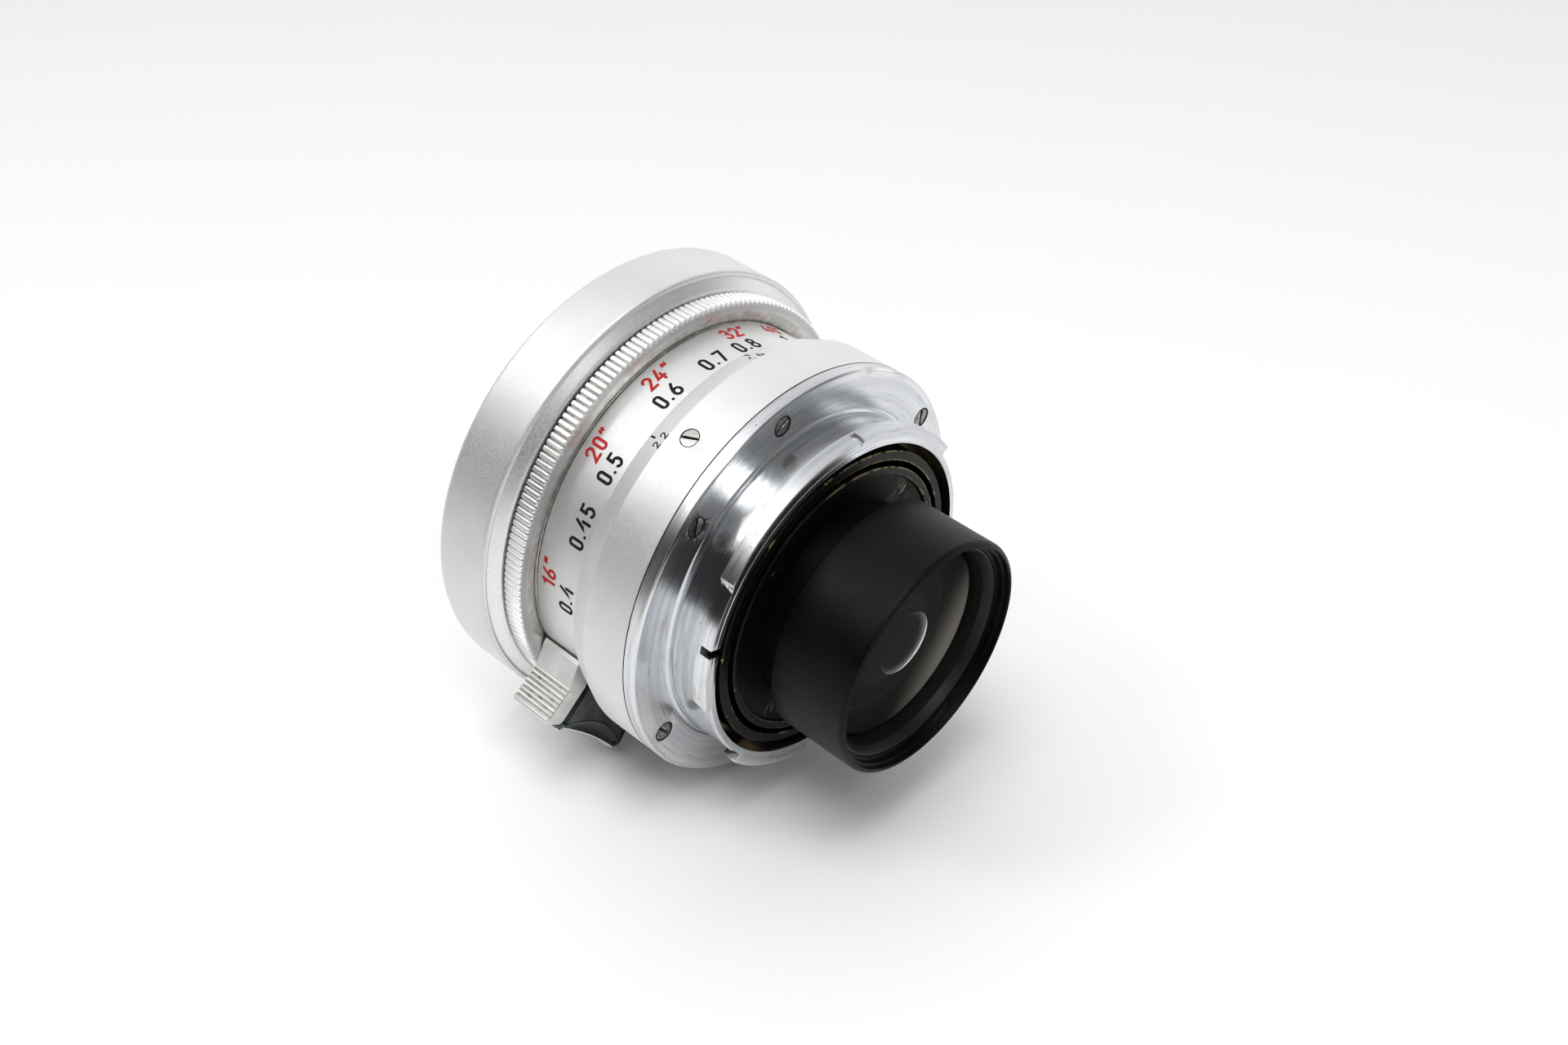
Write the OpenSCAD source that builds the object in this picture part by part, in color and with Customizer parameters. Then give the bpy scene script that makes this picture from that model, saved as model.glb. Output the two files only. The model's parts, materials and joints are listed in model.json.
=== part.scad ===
// Wide-angle prime lens with a bayonet mount, a focusing ring with an infinity
// lock, a knurled aperture ring, a four-blade iris and a long rear tube.
// The optical axis is Y: the front faces -Y and the bayonet faces +Y.
// The origin is on the axis, in the plane of the bayonet's register face.
// Angles called theta run about the axis from +Z (top) towards +X.

/* [Mount] */
// Radius of the bayonet flange and of the fixed barrel
flange_r = 26.3; // [25.5:0.1:27]
// Thickness of the bayonet flange
flange_t = 1.7; // [1.5:0.1:2]
// Outer radius of the bayonet tube behind the flange
bayonet_tube_r = 21; // [20.9:0.05:21.2]
// Bore radius of the bayonet tube
bayonet_bore_r = 20.1; // [20:0.05:20.3]
// Outer radius of the bayonet lugs
lug_r = 22; // [21.8:0.05:22.2]
// Distance from the register face to the front of the lugs
lug_front = 4.3; // [4:0.1:4.5]
// Length of the bayonet tube behind the register face
bayonet_len = 6.2; // [6:0.1:6.4]

/* [Outer shape] */
// Radius of the focusing ring
focus_r = 23.9; // [23.7:0.05:23.95]
// Radius of the knurled aperture ring over its teeth
knurl_r = 26.8; // [26.4:0.1:27.2]
// Number of teeth on the aperture ring
knurl_teeth = 200; // [160:10:220]
// Radius of the front ring
front_r = 28.8; // [28.2:0.1:29.4]
// Distance from the register face to the front rim
front_len = 30; // [29.8:0.1:30.6]
// Radius of the filter bore in the front ring
filter_r = 23.75; // [23.4:0.05:23.9]
// Radius of the rear tube
rear_tube_r = 14.75; // [14.6:0.05:15]
// Distance from the register face to the end of the rear tube
rear_len = 20; // [19.8:0.1:21]

/* [Movement] */
// Rotation of the focusing ring from infinity to its near stop, in degrees
focus_throw = 176; // [170:1:178]
// Travel of the lens head from infinity to its near stop
head_travel = 1.3; // [1.2:0.05:1.4]
// Travel of the rangefinder sleeve
rf_travel = 4; // [3.5:0.1:4]
// Rotation of the aperture ring from fully open to fully closed, in degrees
aperture_throw = 72; // [66:1:72]
// Swing of each iris blade, in degrees
blade_swing = 22; // [20:0.5:22]

/* [Hidden] */
$fn = 96;
fit = 0.05;  // radial clearance of a running fit
seat = 0.02; // gap between seated pieces of one body

// radii of the nested sleeves, from the inside outward
cell_r = 14.85;         // front cell and iris housing
helicoid_bore_r = 16.1; // seat of the cells in the inner helicoid
helicoid_r = 17.7;      // thread of the inner helicoid
rf_bore_r = 17.8;
rf_r = 19;              // rangefinder sleeve
focus_thread_r = 20.5;  // thread of the focusing helicoid
head_r = 21.9;          // head shell, on which the aperture ring turns

// places along the axis
cone_rear_y = -8.1;     // rear end of the barrel's conical scale
barrel_front_y = -10.8;
focus_rear_y = -9.6;
focus_front_y = -18.7;
teeth_rear_y = -18.3;
teeth_front_y = -21;
click_y = -19.95;       // click stop and iris drive pin
tooth_depth = 0.45;
cove_y = -19.1;         // bottom of the smooth cove behind the teeth
head_front_y = -24;
filter_floor_y = 2.3 - front_len;

// fasteners and keys
flange_screw_r = 24;
flange_screw_thetas = [13, 48, 118, 180, 242, 304];
flange_screw_hole_r = 0.75;
barrel_screw_thetas = [31, 151, 271];
barrel_screw_y = -5.8;
rear_screw_r = 14.9;
rear_screw_thetas = [48, 138, 228, 318];
focus_screw_thetas = [20, 140, 260];
focus_screw_y = -10.15;
key_thetas = [0, 180];
key_w = 4;
key_front_y = -3.2;
key_screw_r = 21.9;
key_screw_hole_r = 0.62;
stop_pin_r = 24.62;
stop_pin_thetas = [152.5, 103 - focus_throw];

// bayonet lugs, each from one theta to another
upper_lug = [-52, 57];
low_band = [56, 101];
lower_lugs = [[134, 172], [208, 262]];
notch_theta = -2;
pin_slot_theta = 79;
pin_slot_w = 1.05;

// focusing tab and infinity lock
tab_y = -15.35;              // middle of the tab along the axis
tab_w = 5.9;                 // width of the tab along the axis
tab_r = 31.2;
tab_rear_y = tab_y + tab_w / 2;
tab_front_y = tab_y - tab_w / 2;
tab_screw_theta = 139;
tab_screw_ys = [tab_y - 1.7, tab_y + 1.7];
hollow_r = 9.8;              // hollow for a fingertip
hollow_at = [38.75, 135.6];  // its radius and theta
lever_pivot = [25.3, 115.8]; // radius and theta of the lever's hinge
hinge_pin_r = 0.5;

// iris
blade_count = 4;
blade_t = 0.2;
blade_pitch = 0.35;
iris_floor_y = -4;
iris_cover_y = -6.85;
cam_ring_r = 11.45;
pivot = [5.5, -7.6];   // pivot of the first blade, in its own plane
drive = [5.9, -5.0];   // drive pin of the first blade
drive_theta = 195;
click_theta = 60;

// glass
triplet_clear_r = 6.9;
triplet_edge_r = 7.05;

// ---------- helpers: the local frame has its Z along the optical axis ----------

module along_axis() rotate([-90, 0, 0]) children();

// Children are turned so that their +X points outward at this theta
module at_theta(theta) rotate([0, 0, theta - 90]) children();

// A ring turned from [radius, y] points
module turned(points) along_axis() rotate_extrude($fn = 128) polygon(points);

// A plain sleeve between two radii and two places along the axis
module sleeve(inner_r, outer_r, y0, y1)
  turned([[inner_r, y0], [outer_r, y0], [outer_r, y1], [inner_r, y1]]);

// A point of the axial plane at this radius and theta, in the local frame
function polar(r, theta) = [r * sin(theta), -r * cos(theta)];

// A plate cut from a flat outline, between two places along the axis
module plate(points, y0, y1)
  along_axis() translate([0, 0, y0]) linear_extrude(y1 - y0) polygon(points);

// A rod parallel to the axis
module rod(r, centre, y0, y1)
  along_axis() translate([centre[0], centre[1], y0]) cylinder(r = r, h = y1 - y0, $fn = 32);

// A rod pointing outward at this theta and place along the axis
module spoke(r, theta, y, r0, r1)
  along_axis() at_theta(theta) translate([r0, 0, y]) rotate([0, 90, 0])
    cylinder(r = r, h = r1 - r0, $fn = 32);

// A box pointing outward: width across, from r0 to r1, from y0 to y1
module key_block(theta, width, r0, r1, y0, y1)
  along_axis() at_theta(theta) translate([r0, -width / 2, y0]) cube([r1 - r0, width, y1 - y0]);

// Points of an arc about the axis, from one theta to another
function arc(r, t0, t1, steps) = [for (i = [0:steps]) polar(r, t0 + (t1 - t0) * i / steps)];

// A sector of a ring about the axis
module sector(r0, r1, t0, t1, y0, y1, steps = 16)
  plate(concat(arc(r0, t0, t1, steps), arc(r1, t1, t0, steps)), y0, y1);

// A slotted cheese-head screw along the axis, its head flush with top_y
module axial_screw(centre, turn, head_r, head_h, shank_r, shank_len, slot_w, top_y)
  difference() {
    union() {
      rod(head_r, centre, top_y - head_h, top_y);
      rod(shank_r, centre, top_y - head_h - shank_len, top_y - head_h + seat);
    }
    along_axis() translate([centre[0], centre[1], top_y]) rotate([0, 0, turn])
      cube([head_r * 2.2, slot_w, head_h], center = true);
  }

// ---------- fixed barrel ----------

module flange_screw_holes() for (t = flange_screw_thetas) {
  rod(flange_screw_hole_r, polar(flange_screw_r, t), -5, 1);
  rod(1.17, polar(flange_screw_r, t), -0.85, 1);
}

module lug(span, outer_r, steps)
  sector(bayonet_bore_r + 0.3, outer_r, span[0], span[1], lug_front, bayonet_len - 0.05, steps);

module bayonet_mount() color("silver") difference() {
  union() {
    turned([[bayonet_bore_r, -flange_t], [flange_r - 0.1, -flange_t], [flange_r, 0.1 - flange_t],
      [flange_r, -0.25], [flange_r - 0.25, 0], [21.7, 0], [21.5, -0.25], [21.3, -0.25],
      [bayonet_tube_r, 0], [bayonet_tube_r, bayonet_len - 0.25],
      [bayonet_tube_r - 0.25, bayonet_len], [bayonet_bore_r, bayonet_len]]);
    lug(upper_lug, lug_r, 48);
    lug(low_band, lug_r - 0.45, 24);
    for (span = lower_lugs) lug(span, lug_r, 24);
  }
  flange_screw_holes();
  // slot for the body's pin, in the low band
  key_block(pin_slot_theta, pin_slot_w, bayonet_bore_r - 0.5, lug_r + 1, bayonet_len - 1.5,
    bayonet_len + 1);
  // triangular notch in the upper lug
  plate([polar(bayonet_tube_r + 0.1, notch_theta), polar(lug_r + 1, notch_theta - 2.6),
    polar(lug_r + 1, notch_theta + 2.6)], lug_front + 0.3, bayonet_len + 1);
  // chamfered end of the upper lug
  plate([polar(bayonet_tube_r + 0.45, upper_lug[1] + 1), polar(lug_r + 1, upper_lug[1] + 1),
    polar(lug_r + 1, upper_lug[1] - 3.5)], lug_front - 1, bayonet_len + 1);
}

module fixed_barrel() color("gainsboro") difference() {
  turned([[focus_thread_r + fit, -6.6], [focus_thread_r + fit, -flange_t],
    [flange_r - 0.1, -flange_t], [flange_r, -flange_t - 0.1], [flange_r, cone_rear_y],
    [flange_r - 1.1, barrel_front_y], [focus_r + 0.1, barrel_front_y], [focus_r + 0.1, -6.6]]);
  for (t = flange_screw_thetas) rod(flange_screw_hole_r, polar(flange_screw_r, t), -5.2, 0);
  for (t = key_thetas) {
    key_block(t, key_w + 0.02, rf_r, 22.8, key_front_y, 0);
    rod(key_screw_hole_r, polar(key_screw_r, t), -4.9, -3);
  }
  for (t = barrel_screw_thetas) {
    spoke(1.12, t, barrel_screw_y, flange_r - 0.75, flange_r + 0.7);
    spoke(0.72, t, barrel_screw_y, 23.2, flange_r);
  }
  for (t = stop_pin_thetas) rod(0.52, polar(stop_pin_r, t), -11, -9);
}

module flange_screws() color("lightgray")
  for (i = [0:len(flange_screw_thetas) - 1])
    axial_screw(polar(flange_screw_r, flange_screw_thetas[i]), 35 + 47 * i, 1.15, 0.8, 0.7, 3.2,
      0.36, -0.04);

module barrel_screws() color("lightgray") for (t = barrel_screw_thetas) difference() {
  union() {
    spoke(1.08, t, barrel_screw_y, flange_r - 0.73, flange_r - 0.03);
    spoke(0.7, t, barrel_screw_y, 23.4, flange_r - 0.7);
  }
  along_axis() at_theta(t) translate([flange_r, 0, barrel_screw_y]) rotate([20, 0, 0])
    cube([0.9, 0.34, 2.6], center = true);
}

module guide_keys() color("darkgoldenrod") for (t = key_thetas) difference() {
  key_block(t, key_w, 16.5, 22.75, key_front_y, -flange_t);
  rod(key_screw_hole_r, polar(key_screw_r, t), -4, -1);
  rod(0.95, polar(key_screw_r, t), -2.4, -1);
}

module guide_key_screws() color("lightgray")
  for (t = key_thetas)
    axial_screw(polar(key_screw_r, t), t, 0.93, 0.55, 0.6, 2.2, 0.3, -flange_t - 0.1);

module helicoid_retainer() color("dimgray") difference() {
  sleeve(focus_thread_r + 0.3, focus_r + 0.1 - seat, -9.35, -8.2);
  // two spanner slots
  for (t = [60, 240]) key_block(t, 1.4, 20, 21.6, -10, -8.8);
}

module focus_stop_pins() color("silver")
  for (t = stop_pin_thetas) rod(0.5, polar(stop_pin_r, t), -13.2, -9.02);

// ---------- focusing group ----------

module focusing_ring() color("gainsboro") difference() {
  turned([[focus_thread_r + seat, -16.6], [focus_thread_r + seat, focus_rear_y],
    [focus_r, focus_rear_y], [focus_r, focus_front_y + 0.2], [focus_r - 0.2, focus_front_y],
    [22.6, focus_front_y], [22.6, -16.6]]);
  for (t = focus_screw_thetas) spoke(0.42, t, focus_screw_y, 20, 25);
  for (y = tab_screw_ys) spoke(0.62, tab_screw_theta, y, 22.4, 25);
}

module focus_helicoid() color("darkgoldenrod")
  turned([[helicoid_r + fit, -16], [focus_thread_r, -16], [focus_thread_r, -8.05],
    [23.3, -8.05], [23.3, -6.75], [focus_thread_r, -6.75], [focus_thread_r, -3.4],
    [rf_r + fit, -3.4], [rf_r + fit, barrel_front_y], [helicoid_r + fit, barrel_front_y]]);

module focus_ring_screws() color("lightgray") for (t = focus_screw_thetas) difference() {
  spoke(0.4, t, focus_screw_y, focus_thread_r + fit, 23.6);
  along_axis() at_theta(t) translate([23.6, 0, focus_screw_y]) cube([0.5, 0.2, 1], center = true);
}

// The focusing tab: a block with a hollow for a fingertip and a lug for the lever
module focus_tab() color("gainsboro") {
  hollow = polar(hollow_at[0], hollow_at[1]);
  difference() {
    plate(concat(arc(focus_r + seat, 148, 120.6, 12),
      [polar(25.6, 122), polar(tab_r - 0.5, 124.6), polar(tab_r, 125.6), polar(tab_r, 146),
       polar(tab_r - 0.6, 147.4)]), tab_front_y, tab_rear_y);
    along_axis() translate([hollow[0], hollow[1], tab_front_y - 1])
      cylinder(r = hollow_r, h = tab_w + 2);
    // hollow-ground bevel on the rear face
    along_axis() translate([hollow[0], hollow[1], tab_rear_y - 1.1])
      cylinder(r1 = hollow_r - 0.2, r2 = hollow_r + 1.5, h = 1.2);
    for (y = tab_screw_ys) {
      spoke(0.62, tab_screw_theta, y, 22, 27);
      spoke(1.05, tab_screw_theta, y, 26, tab_r);
    }
  }
  // lug that carries the lever's hinge pin
  difference() {
    plate(concat(arc(focus_r + seat, 121, 114, 4), [polar(25.2, 114), polar(26.1, 115),
      polar(26.1, 116.6), polar(25.3, 117.8), polar(24.9, 121)]), tab_y - 0.9, tab_y + 0.9);
    rod(hinge_pin_r + seat, polar(lever_pivot[0], lever_pivot[1]), tab_front_y, tab_rear_y);
  }
}

module tab_screws() color("lightgray") for (y = tab_screw_ys) {
  spoke(0.6, tab_screw_theta, y, 22.9, 26.1);
  difference() {
    spoke(1, tab_screw_theta, y, 26.05, 26.9);
    along_axis() at_theta(tab_screw_theta) translate([26.9, 0, y])
      cube([0.7, 2.4, 0.3], center = true);
  }
}

module lock_hinge_pin() color("silver")
  rod(hinge_pin_r, polar(lever_pivot[0], lever_pivot[1]), tab_y - 2.6, tab_y + 2.6);

// A leaf spring between the focusing tab and the lock lever
module lock_spring() color("silver")
  plate([polar(26.3, 121.9), polar(30.2, 124.0), polar(30.2, 123.6), polar(28.6, 122.75),
    polar(26.5, 121.3), polar(26.3, 121.5)], tab_y - 1.2, tab_y + 1.2);

// The lock lever: a ribbed thumb pad on a smooth heel, hinged at the ring
module lock_lever() color("gainsboro") {
  rib_start = polar(26.9, 115.0);
  rib_end = polar(31.0, 116.9);
  ribs = 7;
  difference() {
    plate([polar(24.15, 109.8), polar(24.6, 110.2), polar(25.5, 112.2), polar(26.3, 113.8),
      rib_start, rib_end, polar(31.35, 117.3), polar(31.4, 118.1), polar(31.0, 119.6),
      polar(30.4, 121.6), polar(29.9, 121.9), polar(26.6, 120.4), polar(25.2, 119.6),
      polar(24.5, 118.2), polar(24.2, 115.8)], tab_front_y, tab_rear_y);
    for (i = [0:ribs - 1])
      rod(0.2, rib_start + (rib_end - rib_start) * (0.1 + 0.84 * i / (ribs - 1)),
        tab_front_y - 1, tab_rear_y + 1);
    // slot over the lug, and bore for the hinge pin
    plate([polar(23.5, 111.4), polar(25.4, 111.9), polar(26.35, 114.6), polar(26.6, 117.6),
      polar(26.2, 122), polar(23.5, 122)], tab_y - 1.05, tab_y + 1.05);
    rod(hinge_pin_r + 0.04, polar(lever_pivot[0], lever_pivot[1]), tab_y - 2.7, tab_y + 2.7);
  }
}

// ---------- rangefinder sleeve ----------

module rangefinder_sleeve() color("#303030") difference() {
  turned([[rf_bore_r, -6.5], [rf_r, -6.5], [rf_r, 5.7], [rf_r - 0.2, 5.9], [rf_bore_r, 5.9]]);
  for (t = key_thetas)
    key_block(t, key_w + 0.15, 16, 20.5, key_front_y - 0.1, -flange_t + rf_travel + 0.15);
}

// ---------- lens head ----------

module inner_helicoid() color("#353535") difference() {
  turned([[helicoid_bore_r, -17.6], [helicoid_r, -17.6], [helicoid_r, -11.2], [17.1, -10.9],
    [17.1, 5.95], [16.95, 6.1], [helicoid_bore_r + 0.15, 6.1], [helicoid_bore_r, 5.95]]);
  for (t = key_thetas)
    key_block(t, key_w + 0.1, 15.5, 18, key_front_y - 0.1, -flange_t + head_travel + 0.15);
}

module head_shell() color("silver") difference() {
  turned([[18.6, head_front_y], [head_r, head_front_y], [head_r, -18.9], [19.5, -18.9],
    [19.5, -17.6], [helicoid_bore_r, -17.6], [helicoid_bore_r, -20.9], [18.6, -20.9]]);
  // slot for the pin that drives the iris
  sector(15, 23, drive_theta - 4, drive_theta + aperture_throw + 4, -20.6, -19.3, 36);
  spoke(0.66, click_theta, click_y, 19.2, 23);
}

module front_ring() color("gainsboro") turned([
  [head_r + seat, head_front_y], [head_r + seat, -21.2], [knurl_r + 0.1, -21.2],
  [knurl_r + 0.45, -21.5], [front_r - 0.65, -22.35], [front_r - 0.45, -22.2],
  [front_r - 0.1, -22.45], [front_r, -22.7], [front_r, 0.5 - front_len],
  [front_r - 0.15, 0.15 - front_len], [front_r - 0.5, -front_len],
  [filter_r + 0.35, -front_len], [filter_r, 0.35 - front_len], [filter_r, filter_floor_y],
  [filter_r - 0.3, filter_floor_y], [filter_r - 0.3, -26.2], [20.5, -26.2],
  [20.5, head_front_y]]);

module front_retainer() color("#202020") difference() {
  turned([[17.95, -24.2], [17.95, -26.25], [23.35, -26.25], [23.35, filter_floor_y + 0.1],
    [21.6, filter_floor_y + 0.1], [18.2, -26.95], [16.3, -26.6], [16.3, -24.2]]);
  for (t = [70, 250]) key_block(t, 1, 22.2, 22.9, filter_floor_y - 0.5, -27);
}

// The black tube that holds the front lens groups
module front_cell() color("#202020")
  turned([[17.05, -24.1], [18.55, -24.1], [18.55, -20.95], [cell_r, -20.95], [cell_r, -7.62],
    [7.1, -7.62], [7.1, -16.2], [8.7, -18.2], [8.7, -21.72], [17.05, -21.72]]);

module iris_housing() color("#2a2a2a") difference() {
  union() {
    sleeve(4.1, cell_r, iris_floor_y, -3.22);
    sleeve(cam_ring_r + 0.15, cell_r, -7.6, iris_floor_y + 0.1);
  }
  for (k = [0:blade_count - 1]) rod(0.54, blade_point(pivot, k), -5, -3);
  // window for the arm of the cam ring
  sector(10, 16, drive_theta - 9, drive_theta + aperture_throw + 9, -6.75, -5.45, 36);
}

module iris_cover() color("#2a2a2a") sleeve(5.2, cam_ring_r + 0.15 - seat, -7.6, iris_cover_y);

module rear_cell() color("#202020")
  turned([[7.1, -3.2], [helicoid_bore_r - fit, -3.2], [helicoid_bore_r - fit, -1.6], [9, -1.6],
    [9, 5.1], [8.4, 5.7], [7.1, 5.7]]);

module rear_plate() color("#252525") difference() {
  sleeve(12.55, helicoid_bore_r - fit, 4.6, 5.7);
  for (t = rear_screw_thetas) {
    rod(0.92, polar(rear_screw_r, t), 5.15, 7);
    rod(0.55, polar(rear_screw_r, t), 4, 6);
  }
}

module rear_plate_screws() color("darkgoldenrod")
  for (i = [0:len(rear_screw_thetas) - 1])
    axial_screw(polar(rear_screw_r, rear_screw_thetas[i]), 20 + 65 * i, 0.9, 0.5, 0.52, 2, 0.3,
      5.67);

// The black rear tube, with a narrow neck inside the mount
module rear_tube() color("#1c1c1c") turned([
  [9.05, -1.55], [12.5, -1.55], [12.5, 9.4], [rear_tube_r - 0.15, 9.4], [rear_tube_r, 9.55],
  [rear_tube_r, rear_len - 0.6], [rear_tube_r - 0.18, rear_len - 0.18],
  [rear_tube_r - 0.6, rear_len], [14.2, rear_len], [14.05, rear_len - 0.15],
  [14.05, rear_len - 0.8], [13.75, rear_len - 0.8], [13.75, rear_len - 1.6],
  [13.4, rear_len - 1.6], [13.4, 15], [12.75, 15], [12.75, 11.75], [9.05, 11.75]]);

module rear_retainer() color("#1c1c1c")
  turned([[12.55, 15.05], [13.38, 15.05], [13.38, 18.3], [13.1, 18.3], [12.8, 17.7],
    [12.55, 17.2]]);

// ---------- glass ----------

// Distance of a spherical face from its vertex at radius r; R > 0 is convex to the front
function sag(R, r) = R - sign(R) * sqrt(R * R - r * r);

// Points of a spherical face from the axis out to radius r
function face(vertex, R, r, steps = 10) =
  [for (i = [0:steps]) [r * i / steps, vertex + sag(R, r * i / steps)]];

function reversed(list) = [for (i = [len(list) - 1:-1:0]) list[i]];

// A lens element between two spherical faces, with a flat rim where the edge is wider
module element(front_y, front_R, front_clear, rear_y, rear_R, rear_clear, edge_r)
  color("lightblue", 0.5) turned(concat(face(front_y, front_R, front_clear),
    [[edge_r, front_y + sag(front_R, front_clear)], [edge_r, rear_y + sag(rear_R, rear_clear)]],
    reversed(face(rear_y, rear_R, rear_clear))));

// An element of one of the two cemented triplets
module triplet_element(front_y, front_R, rear_y, rear_R)
  element(front_y, front_R, triplet_clear_r, rear_y, rear_R, triplet_clear_r, triplet_edge_r);

module front_meniscus() element(-26.3, 46, 16.9, -25.1, 11, 7.9, 17);
module front_triplet_outer() triplet_element(-16, 16, -12.6, -22);
module front_triplet_middle() triplet_element(-12.6 + seat, -22, -11.6, 30);
module front_triplet_inner() triplet_element(-11.6 + seat, 30, -8.3, -24);
module rear_triplet_inner() triplet_element(-2.4, 24, 0.9, -30);
module rear_triplet_middle() triplet_element(0.9 + seat, -30, 1.9, 22);
module rear_triplet_outer() triplet_element(1.9 + seat, 22, 5.3, -16);
module rear_meniscus() element(15.9, -11, 8.6, 17.2, -34, 12.5, 12.72);

module front_triplet_retainer() color("#202020") sleeve(5.6, triplet_edge_r, -8.25, -7.65);

// ---------- aperture ring and iris ----------

module aperture_ring() color("silver") difference() {
  plate([for (i = [0:2 * knurl_teeth - 1])
    polar(knurl_r - (i % 2) * tooth_depth, 180 * i / knurl_teeth)], teeth_front_y, teeth_rear_y);
  // bore that runs on the head, with a groove for the click ball
  sleeve(0, head_r + fit, -22, -17);
  sleeve(21.5, 22.25, -20.6, -19.3);
  // smooth cove behind the teeth
  turned([[20, cove_y], [23.9, cove_y], [24.3, -18.85], [25, -18.5],
    [knurl_r - 1.05, teeth_rear_y], [knurl_r - 1.05, -17], [20, -17]]);
  // dimples for the click stops
  for (i = [0:6]) spoke(0.5, click_theta - aperture_throw * i / 6, click_y, 22, 22.55);
  spoke(0.62, drive_theta, click_y, 21, 26);
}

module click_ball() color("silver")
  along_axis() at_theta(click_theta) translate([21.5, 0, click_y]) sphere(r = 0.62, $fn = 32);

module click_spring() color("silver")
  for (i = [0:4])
    along_axis() at_theta(click_theta) translate([19.4 + 0.35 * i, 0, click_y])
      rotate([0, 90, 0]) rotate_extrude($fn = 32) translate([0.42, 0]) circle(r = 0.12, $fn = 16);

module iris_drive_pin() color("silver") spoke(0.6, drive_theta, click_y, 15.2, 25.6);

function turn_point(p, a) = [p[0] * cos(a) - p[1] * sin(a), p[0] * sin(a) + p[1] * cos(a)];

// A point of blade k, from the same point of the first blade
function blade_point(p, k) = turn_point(p, 360 / blade_count * k);

// Where the first blade's drive pin is in the cam ring, when the blade has swung by b
function drive_path(b) = turn_point(pivot + turn_point(drive - pivot, b),
  -b * aperture_throw / blade_swing);

// The slot's centre line runs a little past both ends
function slot_swing(i, steps) = -1.2 + (blade_swing + 2.4) * i / steps;

function slot_side(side, steps) = [for (i = [0:steps])
  let (p = drive_path(slot_swing(i, steps)), q = drive_path(slot_swing(i, steps) + 0.2),
    d = (q - p) / norm(q - p)) p + side * [-d[1], d[0]]];

module iris_cam_ring() color("#444444") difference() {
  union() {
    sleeve(5.3, cam_ring_r, -6.6, -5.62);
    // arm that reaches forward to the drive pin
    sector(11, 15.98, drive_theta - 4, drive_theta + 4, -6.6, -5.62, 6);
    difference() {
      sector(14.98, 15.98, drive_theta - 4, drive_theta + 4, -20.85, -5.7, 6);
      spoke(0.62, drive_theta, click_y, 14, 17);
    }
  }
  for (k = [0:blade_count - 1]) along_axis() rotate([0, 0, 360 / blade_count * k])
    translate([0, 0, -7]) linear_extrude(2)
      polygon(concat(slot_side(0.48, 18), reversed(slot_side(-0.48, 18))));
}

// A blade: a band with one straight edge, its pivot pin and its drive pin
module iris_blade(k) color("#3a3a3a") {
  y = iris_floor_y - 0.1 - blade_t - blade_pitch * k;
  along_axis() rotate([0, 0, 360 / blade_count * k]) {
    translate([0, 0, y]) linear_extrude(blade_t) polygon([
      [3.8, -8.6], [4.6, -9.0], [5.6, -8.8], [6.7, -8.1], [7.6, -6.8], [8.2, -5.2], [8, 4.6],
      [4.4, 4.6], [3.8, 4.2]]);
    translate([pivot[0], pivot[1], y]) cylinder(r = 0.5, h = -3.3 - y, $fn = 32);
    translate([drive[0], drive[1], -6.45]) cylinder(r = 0.4, h = y + blade_t + 6.45, $fn = 32);
  }
}

module iris_blade_1() iris_blade(0);
module iris_blade_2() iris_blade(1);
module iris_blade_3() iris_blade(2);
module iris_blade_4() iris_blade(3);

bayonet_mount();
fixed_barrel();
flange_screws();
barrel_screws();
guide_keys();
guide_key_screws();
helicoid_retainer();
focus_stop_pins();
focusing_ring();
focus_helicoid();
focus_ring_screws();
focus_tab();
tab_screws();
lock_hinge_pin();
lock_spring();
lock_lever();
rangefinder_sleeve();
inner_helicoid();
head_shell();
front_ring();
front_retainer();
front_cell();
front_meniscus();
front_triplet_outer();
front_triplet_middle();
front_triplet_inner();
front_triplet_retainer();
iris_housing();
iris_cover();
rear_cell();
rear_triplet_inner();
rear_triplet_middle();
rear_triplet_outer();
rear_plate();
rear_plate_screws();
rear_tube();
rear_meniscus();
rear_retainer();
click_ball();
click_spring();
aperture_ring();
iris_drive_pin();
iris_cam_ring();
iris_blade_1();
iris_blade_2();
iris_blade_3();
iris_blade_4();
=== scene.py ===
"""Looks of a wide-angle rangefinder lens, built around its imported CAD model.

The optical axis is Y: the front glass faces -Y and the bayonet faces +Y.
Angles called theta run about the axis from +Z (top) towards +X, in degrees.
Lengths in the tables are millimetres; MM turns them into metres.
"""
import json
import math

import bmesh
import bpy
from mathutils import Matrix, Vector
from mathutils.geometry import tessellate_polygon

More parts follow.
